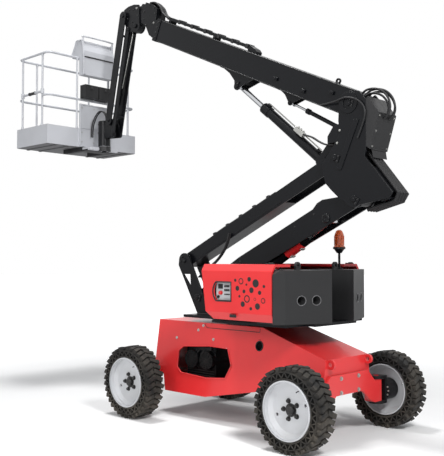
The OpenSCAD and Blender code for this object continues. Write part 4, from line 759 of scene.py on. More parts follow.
panel_bolts = []
for side in (1, -1):
    lean_out = (0, side * math.cos(LEAN), math.sin(LEAN))
    for x, z in ((859, 821), (541, 921), (473, 972), (308, 840)):
        panel_bolts.append((side_at(x, z, side), lean_out))
bolts("side_bolts", panel_bolts, 11, 8, ZINC, "chassis")
end_bolts = []
for y, z in ((140, 445), (140, 575), (-140, 445), (-140, 575)):
    end_bolts.append(((-1147, y, z), (-1, 0, 0)))
    end_bolts.append(((1192, y, z), (1, 0, 0)))
bolts("end_plate_bolts", end_bolts, 15, 11, ZINC, "chassis")
# Painted shade: thin near-black strips along the deck seam stand for the shade in its groove.
kit = Kit()
for side in (1, -1):
    rise = Vector((0, side * math.cos(LEAN), math.sin(LEAN))) * 2.6
    for x0, z0, x1, z1 in ((-314, 953, 418, 953), (-314, 953, -314, 985), (418, 953, 452, 990)):
        dx, dz = Vector((x1 - x0, z1 - z0)).normalized() * 3
        line = [(x0 - dz, z0 + dx), (x0 + dz, z0 - dx), (x1 + dz, z1 - dx), (x1 - dz, z1 + dx)]
        kit.prism([side_at(x, z, side, -1) for x, z in line], rise)
kit.done("side_groove_shade", FINISH["grey_paint"], "chassis", "grey_paint")
grommets = []
for side in (1, -1):
    ringed = [side_at(-323 + 45 * math.cos(a), 822.6 + 45 * math.sin(a), side, 1)
              for a in (2 * math.pi * i / 24 for i in range(25))]
    grommets.append([place(*p) for p in ringed])
# Painted shade: near-black cups sit in the round service holes for the shade inside them.
kit = Kit()
for side in (1, -1):
    mouth = side_at(-323, 822.6, side, -8)
    kit.lathe(mouth, (0, -side, 0), [(62, 0), (62, 40), (0, 40)], 28)
kit.done("service_hole_shade_cups", POCKET_SHADE, "chassis", "hose_rubber")
tube("service_hole_grommets", grommets, 0.006, SATIN_BLACK, "chassis", 8)
print("side bolts:", len(panel_bolts), "end bolts:", len(end_bolts))

# %% [markdown]
# The vent opening shows a folded lip, and behind it the drive with its fan guards, fins and pipes.

# %% Vent lip and drive
VENT = [(0.01, 0.599), (0.042, 0.763), (0.166, 0.768), (0.341, 0.739), (0.372, 0.689), (0.372, 0.519),
        (0.341, 0.464), (0.166, 0.444), (0.042, 0.469)]
lips = []
for side in (1, -1):
    lip = [side_at(WHEELBASE * a, DECK_Z * b, side, 1.5) for a, b in VENT + VENT[:1]]
    lips.append([place(*p) for p in lip])
tube("vent_lips", lips, 0.007, FINISH["red_paint"], "chassis", 8)
kit = Kit()
for side in (1, -1):
    for x in (440, 659):
        for r in (30, 50, 70, 90):
            kit.ring((x, side * 306, 610), (0, side, 0), r - 3, r + 1, 8, 32)
        for i in range(6):
            kit.block((x, side * 311, 610), (178, 5, 5), 30 * i, 0)
    for z in range(310, 500, 26):
        kit.block((566, side * 252, z), (400, 16, 9), 0, 2)
    kit.block((566, side * 258, 735), (330, 24, 60), 0, 5)
kit.done("drive_guards", SATIN_BLACK, "chassis", "black_paint")
pipes = []
for side in (1, -1):
    for x, dip in ((490, 0), (530, 16), (600, 8), (640, 24)):
        pipes.append(smooth_path([place(*p) for p in (
            (x, side * 255, 520), (x, side * 272, 545 + dip), (x + 10, side * 284, 640),
            (x - 20, side * 268, 705), (x - 24, side * 252, 725))]))
tube("drive_pipes", pipes, 0.009, FINISH["hose_rubber"], "chassis", 10)
print("drive pipes:", len(pipes))

# %% [markdown]
# Seen from below, two bolted covers close the belly.

# %% Belly covers
kit = Kit()
for x in (480, 800):
    kit.block((x, 0, 254), (220, 300, 7), 0, 2)
kit.done("belly_covers", FINISH["red_paint"], "chassis", "red_paint")
belly = [((x + a, b, 250), (0, 0, -1)) for x in (480, 800) for a in (-95, 95) for b in (-130, 0, 130)]
bolts("belly_bolts", belly, 8, 6, ZINC, "chassis")
print("belly bolts:", len(belly))

# %% [markdown]
# Big pins are locked by a keeper plate with two bolts. The same keeper serves the tower, the link and the
# boom's lift bracket, so it is one function.

# %% Pin keepers


def keepers(name, pins, body, face_y, radius):
    kit = Kit()
    heads = []
    for p, angle in pins:
        for side in (1, -1):
            kit.lathe((p[0], side * (face_y + 11.5), p[1]), (0, side, 0), [
                (0, 6), (radius * 0.28, 6), (radius * 0.34, 3), (radius * 0.9, 3), (radius, 0)], 28)
            centre = step(p, angle, radius + 14)
            kit.block((centre[0], side * (face_y + 5), centre[1]), (26, 10, radius * 2.2), angle, 2)
            for off in (-0.72, 0.72):
                q = step(p, angle, radius + 14, off * radius)
                heads.append(((q[0], side * (face_y + 10), q[1]), (0, side, 0)))
    kit.done(name + "_keepers", FINISH["black_paint"], body, "black_paint")
    bolts(name + "_keeper_bolts", heads, 8, 7, SATIN_BLACK, body)


keepers("tower", [(TOWER_UP, 20), (TOWER_LOW, 200)], "turret", 145, 30)
keepers("link", [(BOOM_PIN, 200), (LINK_LOW, 215), (LINK_UP, 200)], "riser_link", 145, 30)
print("keepers on five pins")

# %% [markdown]
# The turret floor is bolted to the slewing ring. A valve block with unions stands between the tower
# plates, and weld beads run where the plates meet the floor.

# %% Turret floor
BASE_TOP = 1076.3
ring_heads = []
for i in range(36):
    a = math.radians(10 * i)
    x, y = 262 * math.cos(a), 262 * math.sin(a)
    if abs(y) < 190:
        ring_heads.append(((x, y, BASE_TOP), (0, 0, 1)))
bolts("ring_bolts", ring_heads, 11, 9, ZINC, "turret")
kit = Kit().block((640, 0, 1110), (110, 150, 68), 0, 4)
for y in (-50, -18, 18, 50):
    kit.lathe((640, y, 1144), (0, 0, 1), [(14, 0), (14, 8), (9, 9), (9, 18), (0, 18)], 12)
    kit.lathe((695, y, 1108), (1, 0, 0), [(12, 0), (12, 9), (8, 10), (8, 22), (0, 22)], 12)
kit.done("valve_block", ZINC, "turret", "chrome_rod")
welds = []
for side in (1, -1):
    for y in (124, 146):
        welds.append([place(540, side * y, BASE_TOP + 2), place(735, side * y, BASE_TOP + 2)])
    for y in (57, 72):
        welds.append([place(408, side * y, BASE_TOP + 2), place(492, side * y, BASE_TOP + 2)])
tube("turret_welds", welds, 0.006, SATIN_BLACK, "turret", 8)
print("ring bolts:", len(ring_heads))

# %% [markdown]
# The left cover has a window onto the ground controls, framed by a rubber bead. Latches hold the cover,
# and a scatter of plain dots decorates its rear half.

# %% Left cover
COVER_Y = 700
WINDOW = (-290, -51, 1269, 1451)
mid_x, mid_z = (WINDOW[0] + WINDOW[1]) / 2, (WINDOW[2] + WINDOW[3]) / 2
half_x, half_z = (WINDOW[1] - WINDOW[0]) / 2, (WINDOW[3] - WINDOW[2]) / 2
reach = math.sqrt(half_x ** 2 - half_z ** 2)
top_angle = math.atan2(half_z, reach)
bead = [(mid_x + half_x * math.cos(a), mid_z + half_x * math.sin(a))
        for a in (top_angle * (1 - i / 6) for i in range(13))]
bead += [(WINDOW[0], WINDOW[2]), (WINDOW[0], WINDOW[3])]
bead_path = [place(x, COVER_Y + 1, z) for x, z in bead + bead[:1]]
tube("window_bead", [bead_path], 0.007, SATIN_BLACK, "cover_left", 8)
for side_name, side in (("left", 1), ("right", -1)):
    kit = Kit()
    kit.block((-714, side * 632, 1624), (84, 34, 12), 0, 3)
    kit.block((-728, side * 632, 1632), (44, 18, 10), 0, 3)
    x, z, y = -315, 1134, 702
    kit.block((x, side * y, z), (78, 12, 30), 0, 4)
    kit.block((x - 14, side * (y + 9), z), (40, 10, 16), 0, 3)
    kit.lathe((x + 24, side * (y + 6), z), (0, side, 0), [(9, 0), (9, 5), (6, 8), (0, 8)], 16)
    kit.done("latches_" + side_name, SATIN_BLACK, "cover_" + side_name, "black_paint")
DOTS = [(-345, 1470, 15), (-372, 1395, 24), (-398, 1322, 13), (-418, 1462, 30), (-440, 1250, 26),
        (-455, 1368, 18), (-486, 1432, 11), (-492, 1300, 36), (-520, 1482, 22), (-540, 1212, 16),
        (-548, 1382, 27), (-590, 1300, 14), (-600, 1446, 38), (-622, 1236, 30), (-648, 1362, 20),
        (-690, 1290, 26), (-700, 1420, 15)]
kit = Kit()
for x, z, r in DOTS:
    kit.lathe((x, COVER_Y - 0.2, z), (0, 1, 0), [(r, 0), (r, 0.5), (0, 0.5)], 28)
kit.done("cover_dots", FINISH["grey_paint"], "cover_left", "grey_paint")
kit = Kit()
for x, z, r in DOTS[3::4]:
    kit.lathe((x, COVER_Y + 0.2, z), (0, 1, 0), [(r * 0.66, 0), (r * 0.66, 0.5), (0, 0.5)], 28)
kit.done("cover_dot_middles", FINISH["red_paint"], "cover_left", "red_paint")
print("dots:", len(DOTS))

# %% [markdown]
# Behind the window stands the control panel: a pale plate with a display, rows of switches and buttons,
# a key and a red stop button.

# %% Ground control panel
PANEL_Y = 660.3
STOP_KNOB = [(20, 0), (20, 5), (11, 6), (11, 14), (18, 16), (18, 22), (14, 25), (0, 25)]


def face_plate(kit, y, x0, x1, z0, z1, thick, soft):
    kit.prism([(x0, y, z0), (x1, y, z0), (x1, y, z1), (x0, y, z1)], (0, thick, 0), soft)


kit = Kit()
face_plate(kit, PANEL_Y, -282, -60, 1276, 1444, 4, 1.5)
face_plate(kit, PANEL_Y, -250, -170, 1290, 1430, 7, 1.5)
kit.done("panel_plate", FINISH["disc_paint"], "turret", "disc_paint")
kit = Kit()
face_plate(kit, PANEL_Y + 4, -150, -90, 1384, 1430, 4, 1)
for i in range(4):
    kit.block((-236 + 18 * i, PANEL_Y + 11, 1410), (9, 10, 22), 8, 2)
    kit.block((-236 + 18 * i, PANEL_Y + 11, 1372), (9, 10, 22), -8, 2)
    kit.lathe((-236 + 18 * i, PANEL_Y + 6, 1332), (0, 1, 0), [(7, 0), (7, 6), (5, 8), (0, 8)], 14)
kit.lathe((-92, PANEL_Y + 4, 1306), (0, 1, 0), [(16, 0), (16, 5), (9, 7), (9, 13), (0, 13)], 20)
kit.block((-92, PANEL_Y + 20, 1306), (5, 10, 20), 20, 1)
kit.done("panel_switches", SATIN_BLACK, "turret", "black_paint")
Kit().lathe((-128, PANEL_Y + 4, 1346), (0, 1, 0), STOP_KNOB, 24).done(
    "panel_stop", FINISH["red_paint"], "turret", "red_paint")
print("control panel with eight switches")

# %% [markdown]
# Each counterweight is drawn up by two bolts at the bottom of deep round pockets. A thin grey ring
# traces each pocket edge. The beacon has ribs round its lens and a dark clamp ring.

# %% Counterweights and beacon
weight_heads, rims = [], []
for side in (1, -1):
    for hole_y, face_x, floor_x in ((330.7, -1012.8, -932.5), (477.1, -953.6, -868.5)):
        weight_heads.append(((floor_x, side * hole_y, 1291.5), (-1, 0, 0)))
        rim = []
        for i in range(29):
            a = 2 * math.pi * i / 28
            y = hole_y + 43 * math.cos(a)
            rim.append(place(face_x + (y - hole_y) * 0.405 - 2, side * y, 1291.5 + 43 * math.sin(a)))
        rims.append(rim)
bolts("weight_bolts", weight_heads, 25, 24, ZINC, "turret")
tube("pocket_rims", rims, 0.004, PAN_SHADE_AND_RIM_GREY, "turret", 8)
BEACON = (-769.5, -375.2)
block_ring("beacon_ribs", (*BEACON, 1855), (0, 0, 0), 18, 48.5, (5, 4, 96), FINISH["orange_lens"], "turret")
kit = Kit().ring((*BEACON, 1768), (0, 0, 1), 57.5, 62, 20)
kit.block((BEACON[0], BEACON[1] + 63, 1778), (14, 10, 12))
kit.done("beacon_clamp", SATIN_BLACK, "turret", "black_paint")
print("weight bolts:", len(weight_heads))

# %% [markdown]
# Four hoses run along the top of the upper arm, held by clamps, and a ledge runs along each of its sides.
# The lower arm shows the caps of the cylinder pin.

# %% Riser arms
arm_hoses, clamp_kit = [], Kit()
for i, y in enumerate((-54, -20, 16, 50)):
    line = ((300 + 30 * i, 60), (420 + 30 * i, 88), (900, 86), (1420, 86))
    arm_hoses.append(smooth_path([at(spot(TOWER_UP, RISER, s, t), y) for s, t in line], 6))
for s in (480, 690, 900, 1110, 1320):
    p = spot(TOWER_UP, RISER, s, 88)
    clamp_kit.block((p[0], 0, p[1]), (34, 146, 36), RISER, 3)
    q = spot(TOWER_UP, RISER, s, 108)
    for y in (-37, -2, 33):
        clamp_kit.lathe((q[0], y, q[1]), (0.426, 0, 0.905), [(9, -4), (9, 6), (5, 8), (0, 8)], 6)
tube("arm_hoses", arm_hoses, 0.0135, FINISH["hose_rubber"], "upper_arm", 10)
clamp_kit.done("arm_clamps", SATIN_BLACK, "upper_arm", "black_paint")
kit = Kit()
for side in (1, -1):
    a, b = spot(TOWER_UP, RISER, 180, -44), spot(TOWER_UP, RISER, 1480, -44)
    c, d = spot(TOWER_UP, RISER, 1480, -52), spot(TOWER_UP, RISER, 180, -52)
    kit.prism([(p[0], side * 94, p[1]) for p in (a, b, c, d)], (0, side * 4, 0), 1)
kit.done("upper_arm_ledges", FINISH["black_paint"], "upper_arm", "black_paint")
EYE = spot(TOWER_LOW, RISER, RISER_LEN * 0.83)
EYE_CAP = [(44, 0), (44, 8), (34, 12), (14, 12), (12, 9), (0, 9)]
kit = Kit()
heads = []
for side in (1, -1):
    kit.lathe((EYE[0], side * 95, EYE[1]), (0, side, 0), EYE_CAP, 28)
    for i in range(4):
        a = math.radians(45 + 90 * i)
        heads.append(((EYE[0] + 36 * math.cos(a), side * 105, EYE[1] + 36 * math.sin(a)), (0, side, 0)))
    for s in (330, 700, 1500, 1760):
        p = spot(TOWER_LOW, RISER, s, 100)
        heads.append(((p[0], side * 95, p[1]), (0, side, 0)))
kit.done("riser_eye_caps", FINISH["black_paint"], "lower_arm", "black_paint")
bolts("lower_arm_bolts", heads, 7, 6, SATIN_BLACK, "lower_arm")
print("arm hoses:", len(arm_hoses), "arm bolts:", len(heads))

# %% [markdown]
# A red half shell with two clips lies along the upper barrel of the riser cylinder: painted reflection of the
# red body on the black barrel.
# The lift and jib cylinders have a feed pipe between two ports, and the lift cylinder a valve block.

# %% Cylinders


def cylinder_pipe(name, base, tip, barrel_len, d, body, under=1):
    angle = math.degrees(math.atan2(tip[1] - base[1], tip[0] - base[0]))
    kit = Kit()
    a = step(base, angle, d * 1.1, under * (d / 2 + 4))
    b = step(base, angle, barrel_len - d * 0.5, under * (d / 2 + 8))
    for p in (a, b):
        kit.block((p[0], 0, p[1]), (d * 0.42, d * 0.34, d * 0.28), angle, 2)
    kit.done(name + "_ports", FINISH["black_paint"], body, "black_paint")
    path = [step(base, angle, d * 1.1, under * (d / 2)), step(base, angle, d * 1.1, under * (d / 2 + 18)),
            step(base, angle, d * 1.5, under * (d / 2 + 22)),
            step(base, angle, barrel_len - d, under * (d / 2 + 22)),
            step(base, angle, barrel_len - d * 0.5, under * (d / 2 + 18)),
            step(base, angle, barrel_len - d * 0.5, under * (d / 2))]
    pipe = smooth_path([place(p[0], 0, p[1]) for p in path], 5)
    tube(name + "_pipe", [pipe], 0.007, ZINC, body, 10)


RISER_BASE = (TOWER_LOW[0] - 290, TOWER_LOW[1] - 35)
LIFT_BASE, LIFT_EYE = (LINK_UP[0] + 230, LINK_UP[1] - 6), spot(BOOM_PIN, BOOM, BOOM_LEN * 0.4928, -251)
cylinder_pipe("lift", LIFT_BASE, LIFT_EYE, 980, 100, "lift_barrel")
lift_way = math.degrees(math.atan2(LIFT_EYE[1] - LIFT_BASE[1], LIFT_EYE[0] - LIFT_BASE[0]))
valve = step(LIFT_BASE, lift_way, 400, 76)
kit = Kit().block((valve[0], 40, valve[1]), (130, 52, 46), lift_way, 4)
for along in (-40, 0, 40):
    p = step(valve, lift_way, along, 23)
    kit.lathe((p[0], 40, p[1]), (-math.sin(math.radians(lift_way)), 0, math.cos(math.radians(lift_way))),
              [(11, 0), (11, 8), (8, 9), (8, 16), (0, 16)], 12)
kit.done("lift_valve", ZINC, "lift_barrel", "chrome_rod")
cylinder_pipe("jib_cylinder", JIB_LOW, FOOT_UP, 715, 52, "jib_barrel", -1)
riser_way = math.degrees(math.atan2(EYE[1] - RISER_BASE[1], EYE[0] - RISER_BASE[0]))
# Painted reflection: the red half shell stands for the red body mirrored on the glossy black barrel.
shell = []
for s in (1000, 1216):
    arc = []
    for r in (57.5, 63):
        turn = range(13) if r < 60 else range(12, -1, -1)
        for i in turn:
            a = math.radians(-105 + 17.5 * i)
            p = step(RISER_BASE, riser_way, s, r * math.cos(a))
            arc.append((p[0], r * math.sin(a), p[1]))
    shell.append(arc)
push = Vector(shell[1][0]) - Vector(shell[0][0])
Kit().prism(shell[0], push).done("red_reflection_shell", FINISH["red_paint"], "riser_barrel", "red_paint")
kit = Kit()
clip_way = math.radians(riser_way + 90)
for s in (1040, 1180):
    p = step(RISER_BASE, riser_way, s, 66)
    kit.block((p[0], 0, p[1]), (30, 60, 12), riser_way, 3)
    kit.lathe((p[0], 0, p[1]), (math.cos(clip_way), 0, math.sin(clip_way)), [(9, 0), (9, 10), (0, 10)], 6)
kit.done("reflection_shell_clips", ZINC, "riser_barrel", "chrome_rod")
print("cylinder pipes, red reflection shell")

# %% [markdown]
# The link is the elbow of the machine. A doubler ring stiffens the boom pivot, a flat bar runs down each
# cheek, and the hood at the back is screwed on above a rubber flap.

# %% Link
kit = Kit()
heads = []
for side in (1, -1):
    kit.ring((BOOM_PIN[0], side * 145, BOOM_PIN[1]), (0, side, 0), 58, 98, 7, 40)
    rib = [(-1366, 2936), (-1312, 2948), (-1112, 2500), (-1166, 2488)]
    kit.prism([(x, side * 145, z) for x, z in rib], (0, side * 9, 0), 3)
    heads.append(((-1150, side * 145, 2860), (0, side, 0)))
    heads.append(((-1120, side * 145, 2745), (0, side, 0)))
kit.done("link_doublers", FINISH["black_paint"], "riser_link", "black_paint")
bolts("link_bolts", heads, 8, 7, ZINC, "riser_link")
HOOD_REAR = (LINK_LOW[0] - LINK_H * 0.153 - 0.3, LINK_LOW[1])
hood_top, hood_foot = [(HOOD_REAR[0] - LINK_H * back, HOOD_REAR[1] + LINK_H * up)
                       for back, up in ((0.155, 0.856), (0.045, 0.495))]
fall = Vector((hood_foot[0] - hood_top[0], 0, hood_foot[1] - hood_top[1]))
slope = fall.normalized()
face_out = Vector((slope[2], 0, -slope[0]))
hood_heads = []
for t in (0.08, 0.5, 0.92):
    for y in (-120, 120):
        p = Vector((hood_top[0], y, hood_top[1])) + t * fall
        hood_heads.append((tuple(p), tuple(face_out)))
bolts("hood_screws", hood_heads, 7, 5, ZINC, "riser_link")
flap = Kit()
flap.prism([(hood_foot[0] - 2, -118, hood_foot[1] + 4), (hood_foot[0] - 2, 118, hood_foot[1] + 4),
            (hood_foot[0] - 18, 112, hood_foot[1] - 76), (hood_foot[0] - 18, -112, hood_foot[1] - 76)],
           (6, 0, 1), 1.5)
flap.block((hood_foot[0] - 3, 0, hood_foot[1] + 2), (10, 230, 14), 0, 2)
flap.done("hood_flap", FINISH["hose_rubber"], "riser_link", "hose_rubber")
print("link bolts:", len(heads), "hood screws:", len(hood_heads))

# %% [markdown]
# The boom has a collar at its mouth with adjusting screws for the wear pads, three small switch boxes on
# each side, keepers on the bracket pin and clamps along the hose carrier.

# %% Boom


def on_boom(s, t):
    return spot(BOOM_PIN, BOOM, s, t)


kit = Kit()
heads = []
for side in (1, -1):
    corners = [on_boom(s, t) for s, t in ((2970, -125), (3038, -125), (3038, 125), (2970, 125))]
    kit.prism([(p[0], side * 95, p[1]) for p in corners], (0, side * 8, 0), 2)
    for t in (-88, -30, 30, 88):
        p = on_boom(3004, t)
        heads.append(((p[0], side * 103, p[1]), (0, side, 0)))
    for x, z in ((-348, 3482), (-692, 3304), (-1034, 3236)):
        kit.block((x, side * 104, z), (46, 20, 36), BOOM, 3)
        kit.lathe((x, side * 114, z), (0, side, 0), [(10, 0), (10, 6), (6, 8), (0, 8)], 14)
for t, push in ((125, 8), (-125, -8)):
    (x0, z0), (x1, z1) = [on_boom(s, t) for s in (2970, 3038)]
    out = Vector((-math.sin(math.radians(BOOM)), 0, math.cos(math.radians(BOOM)))) * push
    kit.prism([(x0, -100, z0), (x1, -100, z1), (x1, 100, z1), (x0, 100, z0)], out, 2)
kit.done("mouth_collar", FINISH["black_paint"], "boom_outer", "black_paint")
bolts("boom_bolts", heads, 9, 8, SATIN_BLACK, "boom_outer")
keepers("lift_pin", [(LIFT_EYE, 110)], "boom_outer", 71, 22)
kit = Kit()
for s in range(1560, 2940, 230):
    p = on_boom(s, 190)
    kit.block((p[0], 0, p[1]), (36, 98, 12), BOOM, 2)
    for y in (-52, 52):
        q = on_boom(s, 170)
        kit.block((q[0], y * 0.92, q[1]), (36, 8, 48), BOOM, 2)
kit.done("carrier_clamps", SATIN_BLACK, "boom_outer", "black_paint")
seams = []
for side in (1, -1):
    for t in (-119, 119):
        seams.append([at(on_boom(s, t), side * 95) for s in (60, 2960)])
    for s0, s1, y in ((1296, 1820, 73), (622, 960, 45)):
        seams.append([at(on_boom(s, -127), side * y) for s in (s0, s1)])
tube("boom_welds", seams, 0.004, SATIN_BLACK, "boom_outer", 8)
print("boom bolts:", len(heads))

# %% [markdown]
# Hoses leave the front of the carrier and lie over the nose, and others are clamped along the upper bar of
# the jib. Caps and washers close the pins.

# %% Nose and jib
nose_hoses = []
for y, out in ((-36, 0), (-12, 10), (14, 4), (38, 12)):
    line = ((2900, 168), (2990, 172 + out), (3060, 196 + out), (3140, 252 + out), (3240, 276 + out),
            (3330, 268))
    nose_hoses.append(smooth_path([at(on_boom(s, t), y) for s, t in line]))
tube("nose_hoses", nose_hoses, 0.012, FINISH["hose_rubber"], "boom_inner", 10)
heads = []
for side in (1, -1):
    for s, t in ((3120, 60), (3150, 170), (3200, 225), (3290, 240), (3360, 150), (3330, 60), (3250, 10)):
        p = on_boom(s, t)
        heads.append(((p[0], side * 73, p[1]), (0, side, 0)))
bolts("nose_bolts", heads, 8, 7, SATIN_BLACK, "boom_inner")
bright = [((x, side * 73, z), (0, side, 0)) for side in (1, -1) for x, z in ((1880, 4722), (1560, 4470))]
bolts("nose_bright_bolts", bright, 9, 8, ZINC, "boom_inner")
kit = Kit()
for side in (1, -1):
    kit.ring((JIB_LOW[0], side * 64.5, JIB_LOW[1]), (0, side, 0), 16.3, 22, 4)
    for p, y, r in ((NOSE_PIN, 61, 26), (JIB_UP, 90, 22)):
        cap = [(r, 0.8), (r, 4), (r * 0.8, 7), (r * 0.35, 7), (r * 0.3, 5), (0, 5)]
        kit.lathe((p[0], side * y, p[1]), (0, side, 0), cap, 24)
kit.done("jib_pin_caps", FINISH["black_paint"], "jib_head", "black_paint")
heads = []
for side in (1, -1):
    for dx, dz in ((-40, 120), (40, 210), (120, 220), (150, 120), (60, 60)):
        heads.append(((NOSE_PIN[0] + dx, side * 49, NOSE_PIN[1] + dz), (0, side, 0)))
bolts("jib_head_bolts", heads, 8, 7, SATIN_BLACK, "jib_head")
jib_hoses = []
for y, t in ((-58, 22), (-46, 34), (46, 34), (58, 22)):
    line = ((280, 4), (400, 0), (640, -3), (980, 0), (1090, 4))
    jib_hoses.append(smooth_path([at(spot(JIB_UP, JIB, s, t + rise), y) for s, rise in line]))
tube("jib_hoses", jib_hoses, 0.009, FINISH["hose_rubber"], "jib_upper_bar", 10)
kit = Kit()
for s in (330, 640, 950):
    p = spot(JIB_UP, JIB, s, 28)
    for side in (1, -1):
        kit.block((p[0], side * 56, p[1]), (26, 34, 38), JIB, 3)
        q = spot(JIB_UP, JIB, s, 30)
        kit.lathe((q[0], side * 84, q[1]), (0, side, 0), [(10, 0), (10, 5), (6, 7), (0, 7)], 6)
kit.done("jib_clamps", SATIN_BLACK, "jib_upper_bar", "black_paint")
print("jib hoses:", len(jib_hoses))

# %% [markdown]
# The foot of the jib carries the rotator: a drum with a bolted lid. Bands clamp the drum, and caps and
# washers close the pins.

# %% Rotator
ROTOR_X = FOOT_LOW[0] + 250
LID = [(74, 0), (74, 8), (66, 12), (26, 12), (24, 20), (0, 20)]
FOOT_CAP = [(21, 0.8), (21, 4), (16, 7), (7, 7), (6, 5), (0, 5)]
rotor_top = FOOT_LOW[1] + 190
kit = Kit().lathe((ROTOR_X, 0, rotor_top), (0, 0, 1), LID, 36)
for side in (1, -1):
    kit.ring((FOOT_LOW[0], side * 64.5, FOOT_LOW[1]), (0, side, 0), 16.3, 22, 4)
    kit.lathe((FOOT_UP[0], side * 90, FOOT_UP[1]), (0, side, 0), FOOT_CAP, 24)
for z in (rotor_top - 40, rotor_top - 150):
    kit.ring((ROTOR_X, 0, z), (0, 0, 1), 77, 84, 16, 40)
kit.done("rotator_lid", FINISH["black_paint"], "jib_bracket", "black_paint")
heads = []
for i in range(8):
    a = math.radians(45 * i)
    heads.append(((ROTOR_X + 54 * math.cos(a), 54 * math.sin(a), rotor_top + 12), (0, 0, 1)))
bolts("rotator_bolts", heads, 7, 6, ZINC, "jib_bracket")
print("rotator bolts:", len(heads))

# %% [markdown]
# The platform floor is studded against slipping. Flanges hold the posts on the toe board, and loops for
# safety lines hang on the rails.

# %% Platform floor and posts
YOKE_T, BEAM_Z = 14, FLOOR_Z - 100
kit = Kit().ring((ROTOR_X, 0, BEAM_Z - 1), (0, 0, 1), 45, 81, 58, 40)
for y in (-190, 190):
    kit.block((PLATFORM_REAR + 145, y, BEAM_Z + 29), (414, 65, 61), 0, 3)
yoke_x, yoke_z = (ROTOR_X + PLATFORM_REAR) / 2 + 30, BEAM_Z + YOKE_T / 2 + 1
kit.block((yoke_x, 0, yoke_z), (180, 446, YOKE_T + 6), 0, 2)
kit.done("under_frame", SATIN_BLACK, "platform", "black_paint")
# Painted shade: a mid-grey pan under the floor darkens the platform's underside to the shade beneath it.
kit = Kit().block((PLATFORM_REAR + 350, 0, FLOOR_Z - 42), (690, 1390, 5), 0, 1)
for y in (-560, -380, 380, 560):
    kit.block((PLATFORM_REAR + 350, y, FLOOR_Z - 50), (640, 34, 14), 0, 3)
kit.done("floor_pan_shade", PAN_SHADE_AND_RIM_GREY, "platform", "grey_paint")
POST_X = (PLATFORM_REAR + 140, PLATFORM_REAR + 595)
RAIL_X = (PLATFORM_REAR + 15, PLATFORM_REAR + 685)
PLATFORM_W, RAIL_H, RAIL_Y, TOE_H = 1400, 1112, 685, 200
RAIL_Z = FLOOR_Z + RAIL_H
studs = [((PLATFORM_REAR + 40 + 32 * i + 16 * (j % 2), -660 + 33 * j, FLOOR_Z), (0, 0, 1))
         for i in range(20) for j in range(41)]
bolts("floor_studs", studs, 6, 2.5, ZINC, "platform", 5)
posts = [(x, side * RAIL_Y) for x in POST_X for side in (1, -1)]
posts += [(RAIL_X[0], PLATFORM_W * s) for s in (0.179, -0.179, -0.414)]
posts += [(RAIL_X[1], PLATFORM_W * s) for s in (-0.3, 0.3)]
kit = Kit()
for x, y in posts:
    kit.ring((x, y, FLOOR_Z + TOE_H + 0.4), (0, 0, 1), 12.6, 15, 28, 20)
    kit.ring((x, y, FLOOR_Z + TOE_H + 0.4), (0, 0, 1), 12.6, 21, 5, 20)
    kit.ring((x, y, RAIL_Z - 30), (0, 0, 1), 12.6, 16.5, 18, 20)
kit.done("post_collars", FINISH["pale_paint"], "platform", "pale_paint")
loops = []
for x in (PLATFORM_REAR + 240, PLATFORM_REAR + 470):
    turn = [math.pi * i / 10 for i in range(11)]
    loops.append([place(x + 26 * math.cos(a), -RAIL_Y + 20, RAIL_Z - 22 - 26 * math.sin(a)) for a in turn])
tube("line_loops", loops, 0.006, ZINC, "platform", 10)
kit = Kit()
kit.block((PLATFORM_REAR + 330, -120, FLOOR_Z + 14), (200, 130, 26), 0, 5)
kit.block((PLATFORM_REAR + 345, -120, FLOOR_Z + 42), (150, 100, 14), 9, 4)
kit.block((PLATFORM_REAR + 240, -120, FLOOR_Z + 62), (14, 120, 90), 0, 4)
kit.done("foot_switch", SATIN_BLACK, "platform", "black_paint")
print("floor studs:", len(studs), "posts:", len(posts))

# %% [markdown]
# The console is a folded pale box. Bent tubes edge its ends, a dark gap runs along its rear, and its
# sloping top faces the driver with two levers, buttons and a stop. A loop guards it from above.

# %% Platform console
rear, base = PLATFORM_REAR, FLOOR_Z
EDGE = [(-108, 884), (-108, 1100), (-100, 1200), (-62, 1325), (-20, 1336), (58, 1334), (96, 1260),
        (150, 1168), (120, 1130)]
GUARD = [(-232, 1150), (-232, 1345), (-205, 1378), (205, 1378), (232, 1345), (232, 1150)]
LEVER = [(34, 0), (30, 8), (20, 22), (9, 30), (8, 74), (15, 80), (17, 100), (11, 112), (0, 114)]
edge_paths = []
for y in (-236, 236):
    edge_paths.append(smooth_path([place(rear + x, y, base + z) for x, z in EDGE], 6))
tube("console_edges", edge_paths, 0.009, FINISH["pale_paint"], "platform", 12)
guard_path = [place(rear - 84, y, base + z) for y, z in GUARD]
tube("console_guard", [smooth_path(guard_path, 8)], 0.011, FINISH["pale_paint"], "platform", 12)
kit = Kit()
kit.block((rear - 109, 0, base + 1112), (6, 455, 18), 0, 1)
kit.done("console_gap", SATIN_BLACK, "platform", "black_paint")
TOP = (rear + 107, base + 1245)
tilt = math.degrees(math.atan2(1160 - 1330, 150 - 64))
out = (0.892, 0, 0.451)
kit = Kit().block((TOP[0] + 2, 0, TOP[1] + 1), (150, 400, 5), tilt, 1)
for i in range(6):
    for along in (-40, 0):
        p = step(TOP, tilt, along, 4)
        kit.lathe((p[0], -75 + 30 * i, p[1]), out, [(9, 0), (9, 5), (6, 8), (0, 8)], 14)
for y in (-150, 150):
    p = step(TOP, tilt, 10, 4)
    kit.lathe((p[0], y, p[1]), out, LEVER, 20)
kit.done("console_panel", SATIN_BLACK, "platform", "black_paint")
p = step(TOP, tilt, 42, 4)
Kit().lathe((p[0], 60, p[1]), out, STOP_KNOB, 24).done(
    "console_stop", FINISH["red_paint"], "platform", "red_paint")
print("console with two levers")

# %% [markdown]
# The apron below is stiffened by a folded edge and screwed to the toe board. The two dark boxes have
# lids with latches, and the sliding rail has a grip.

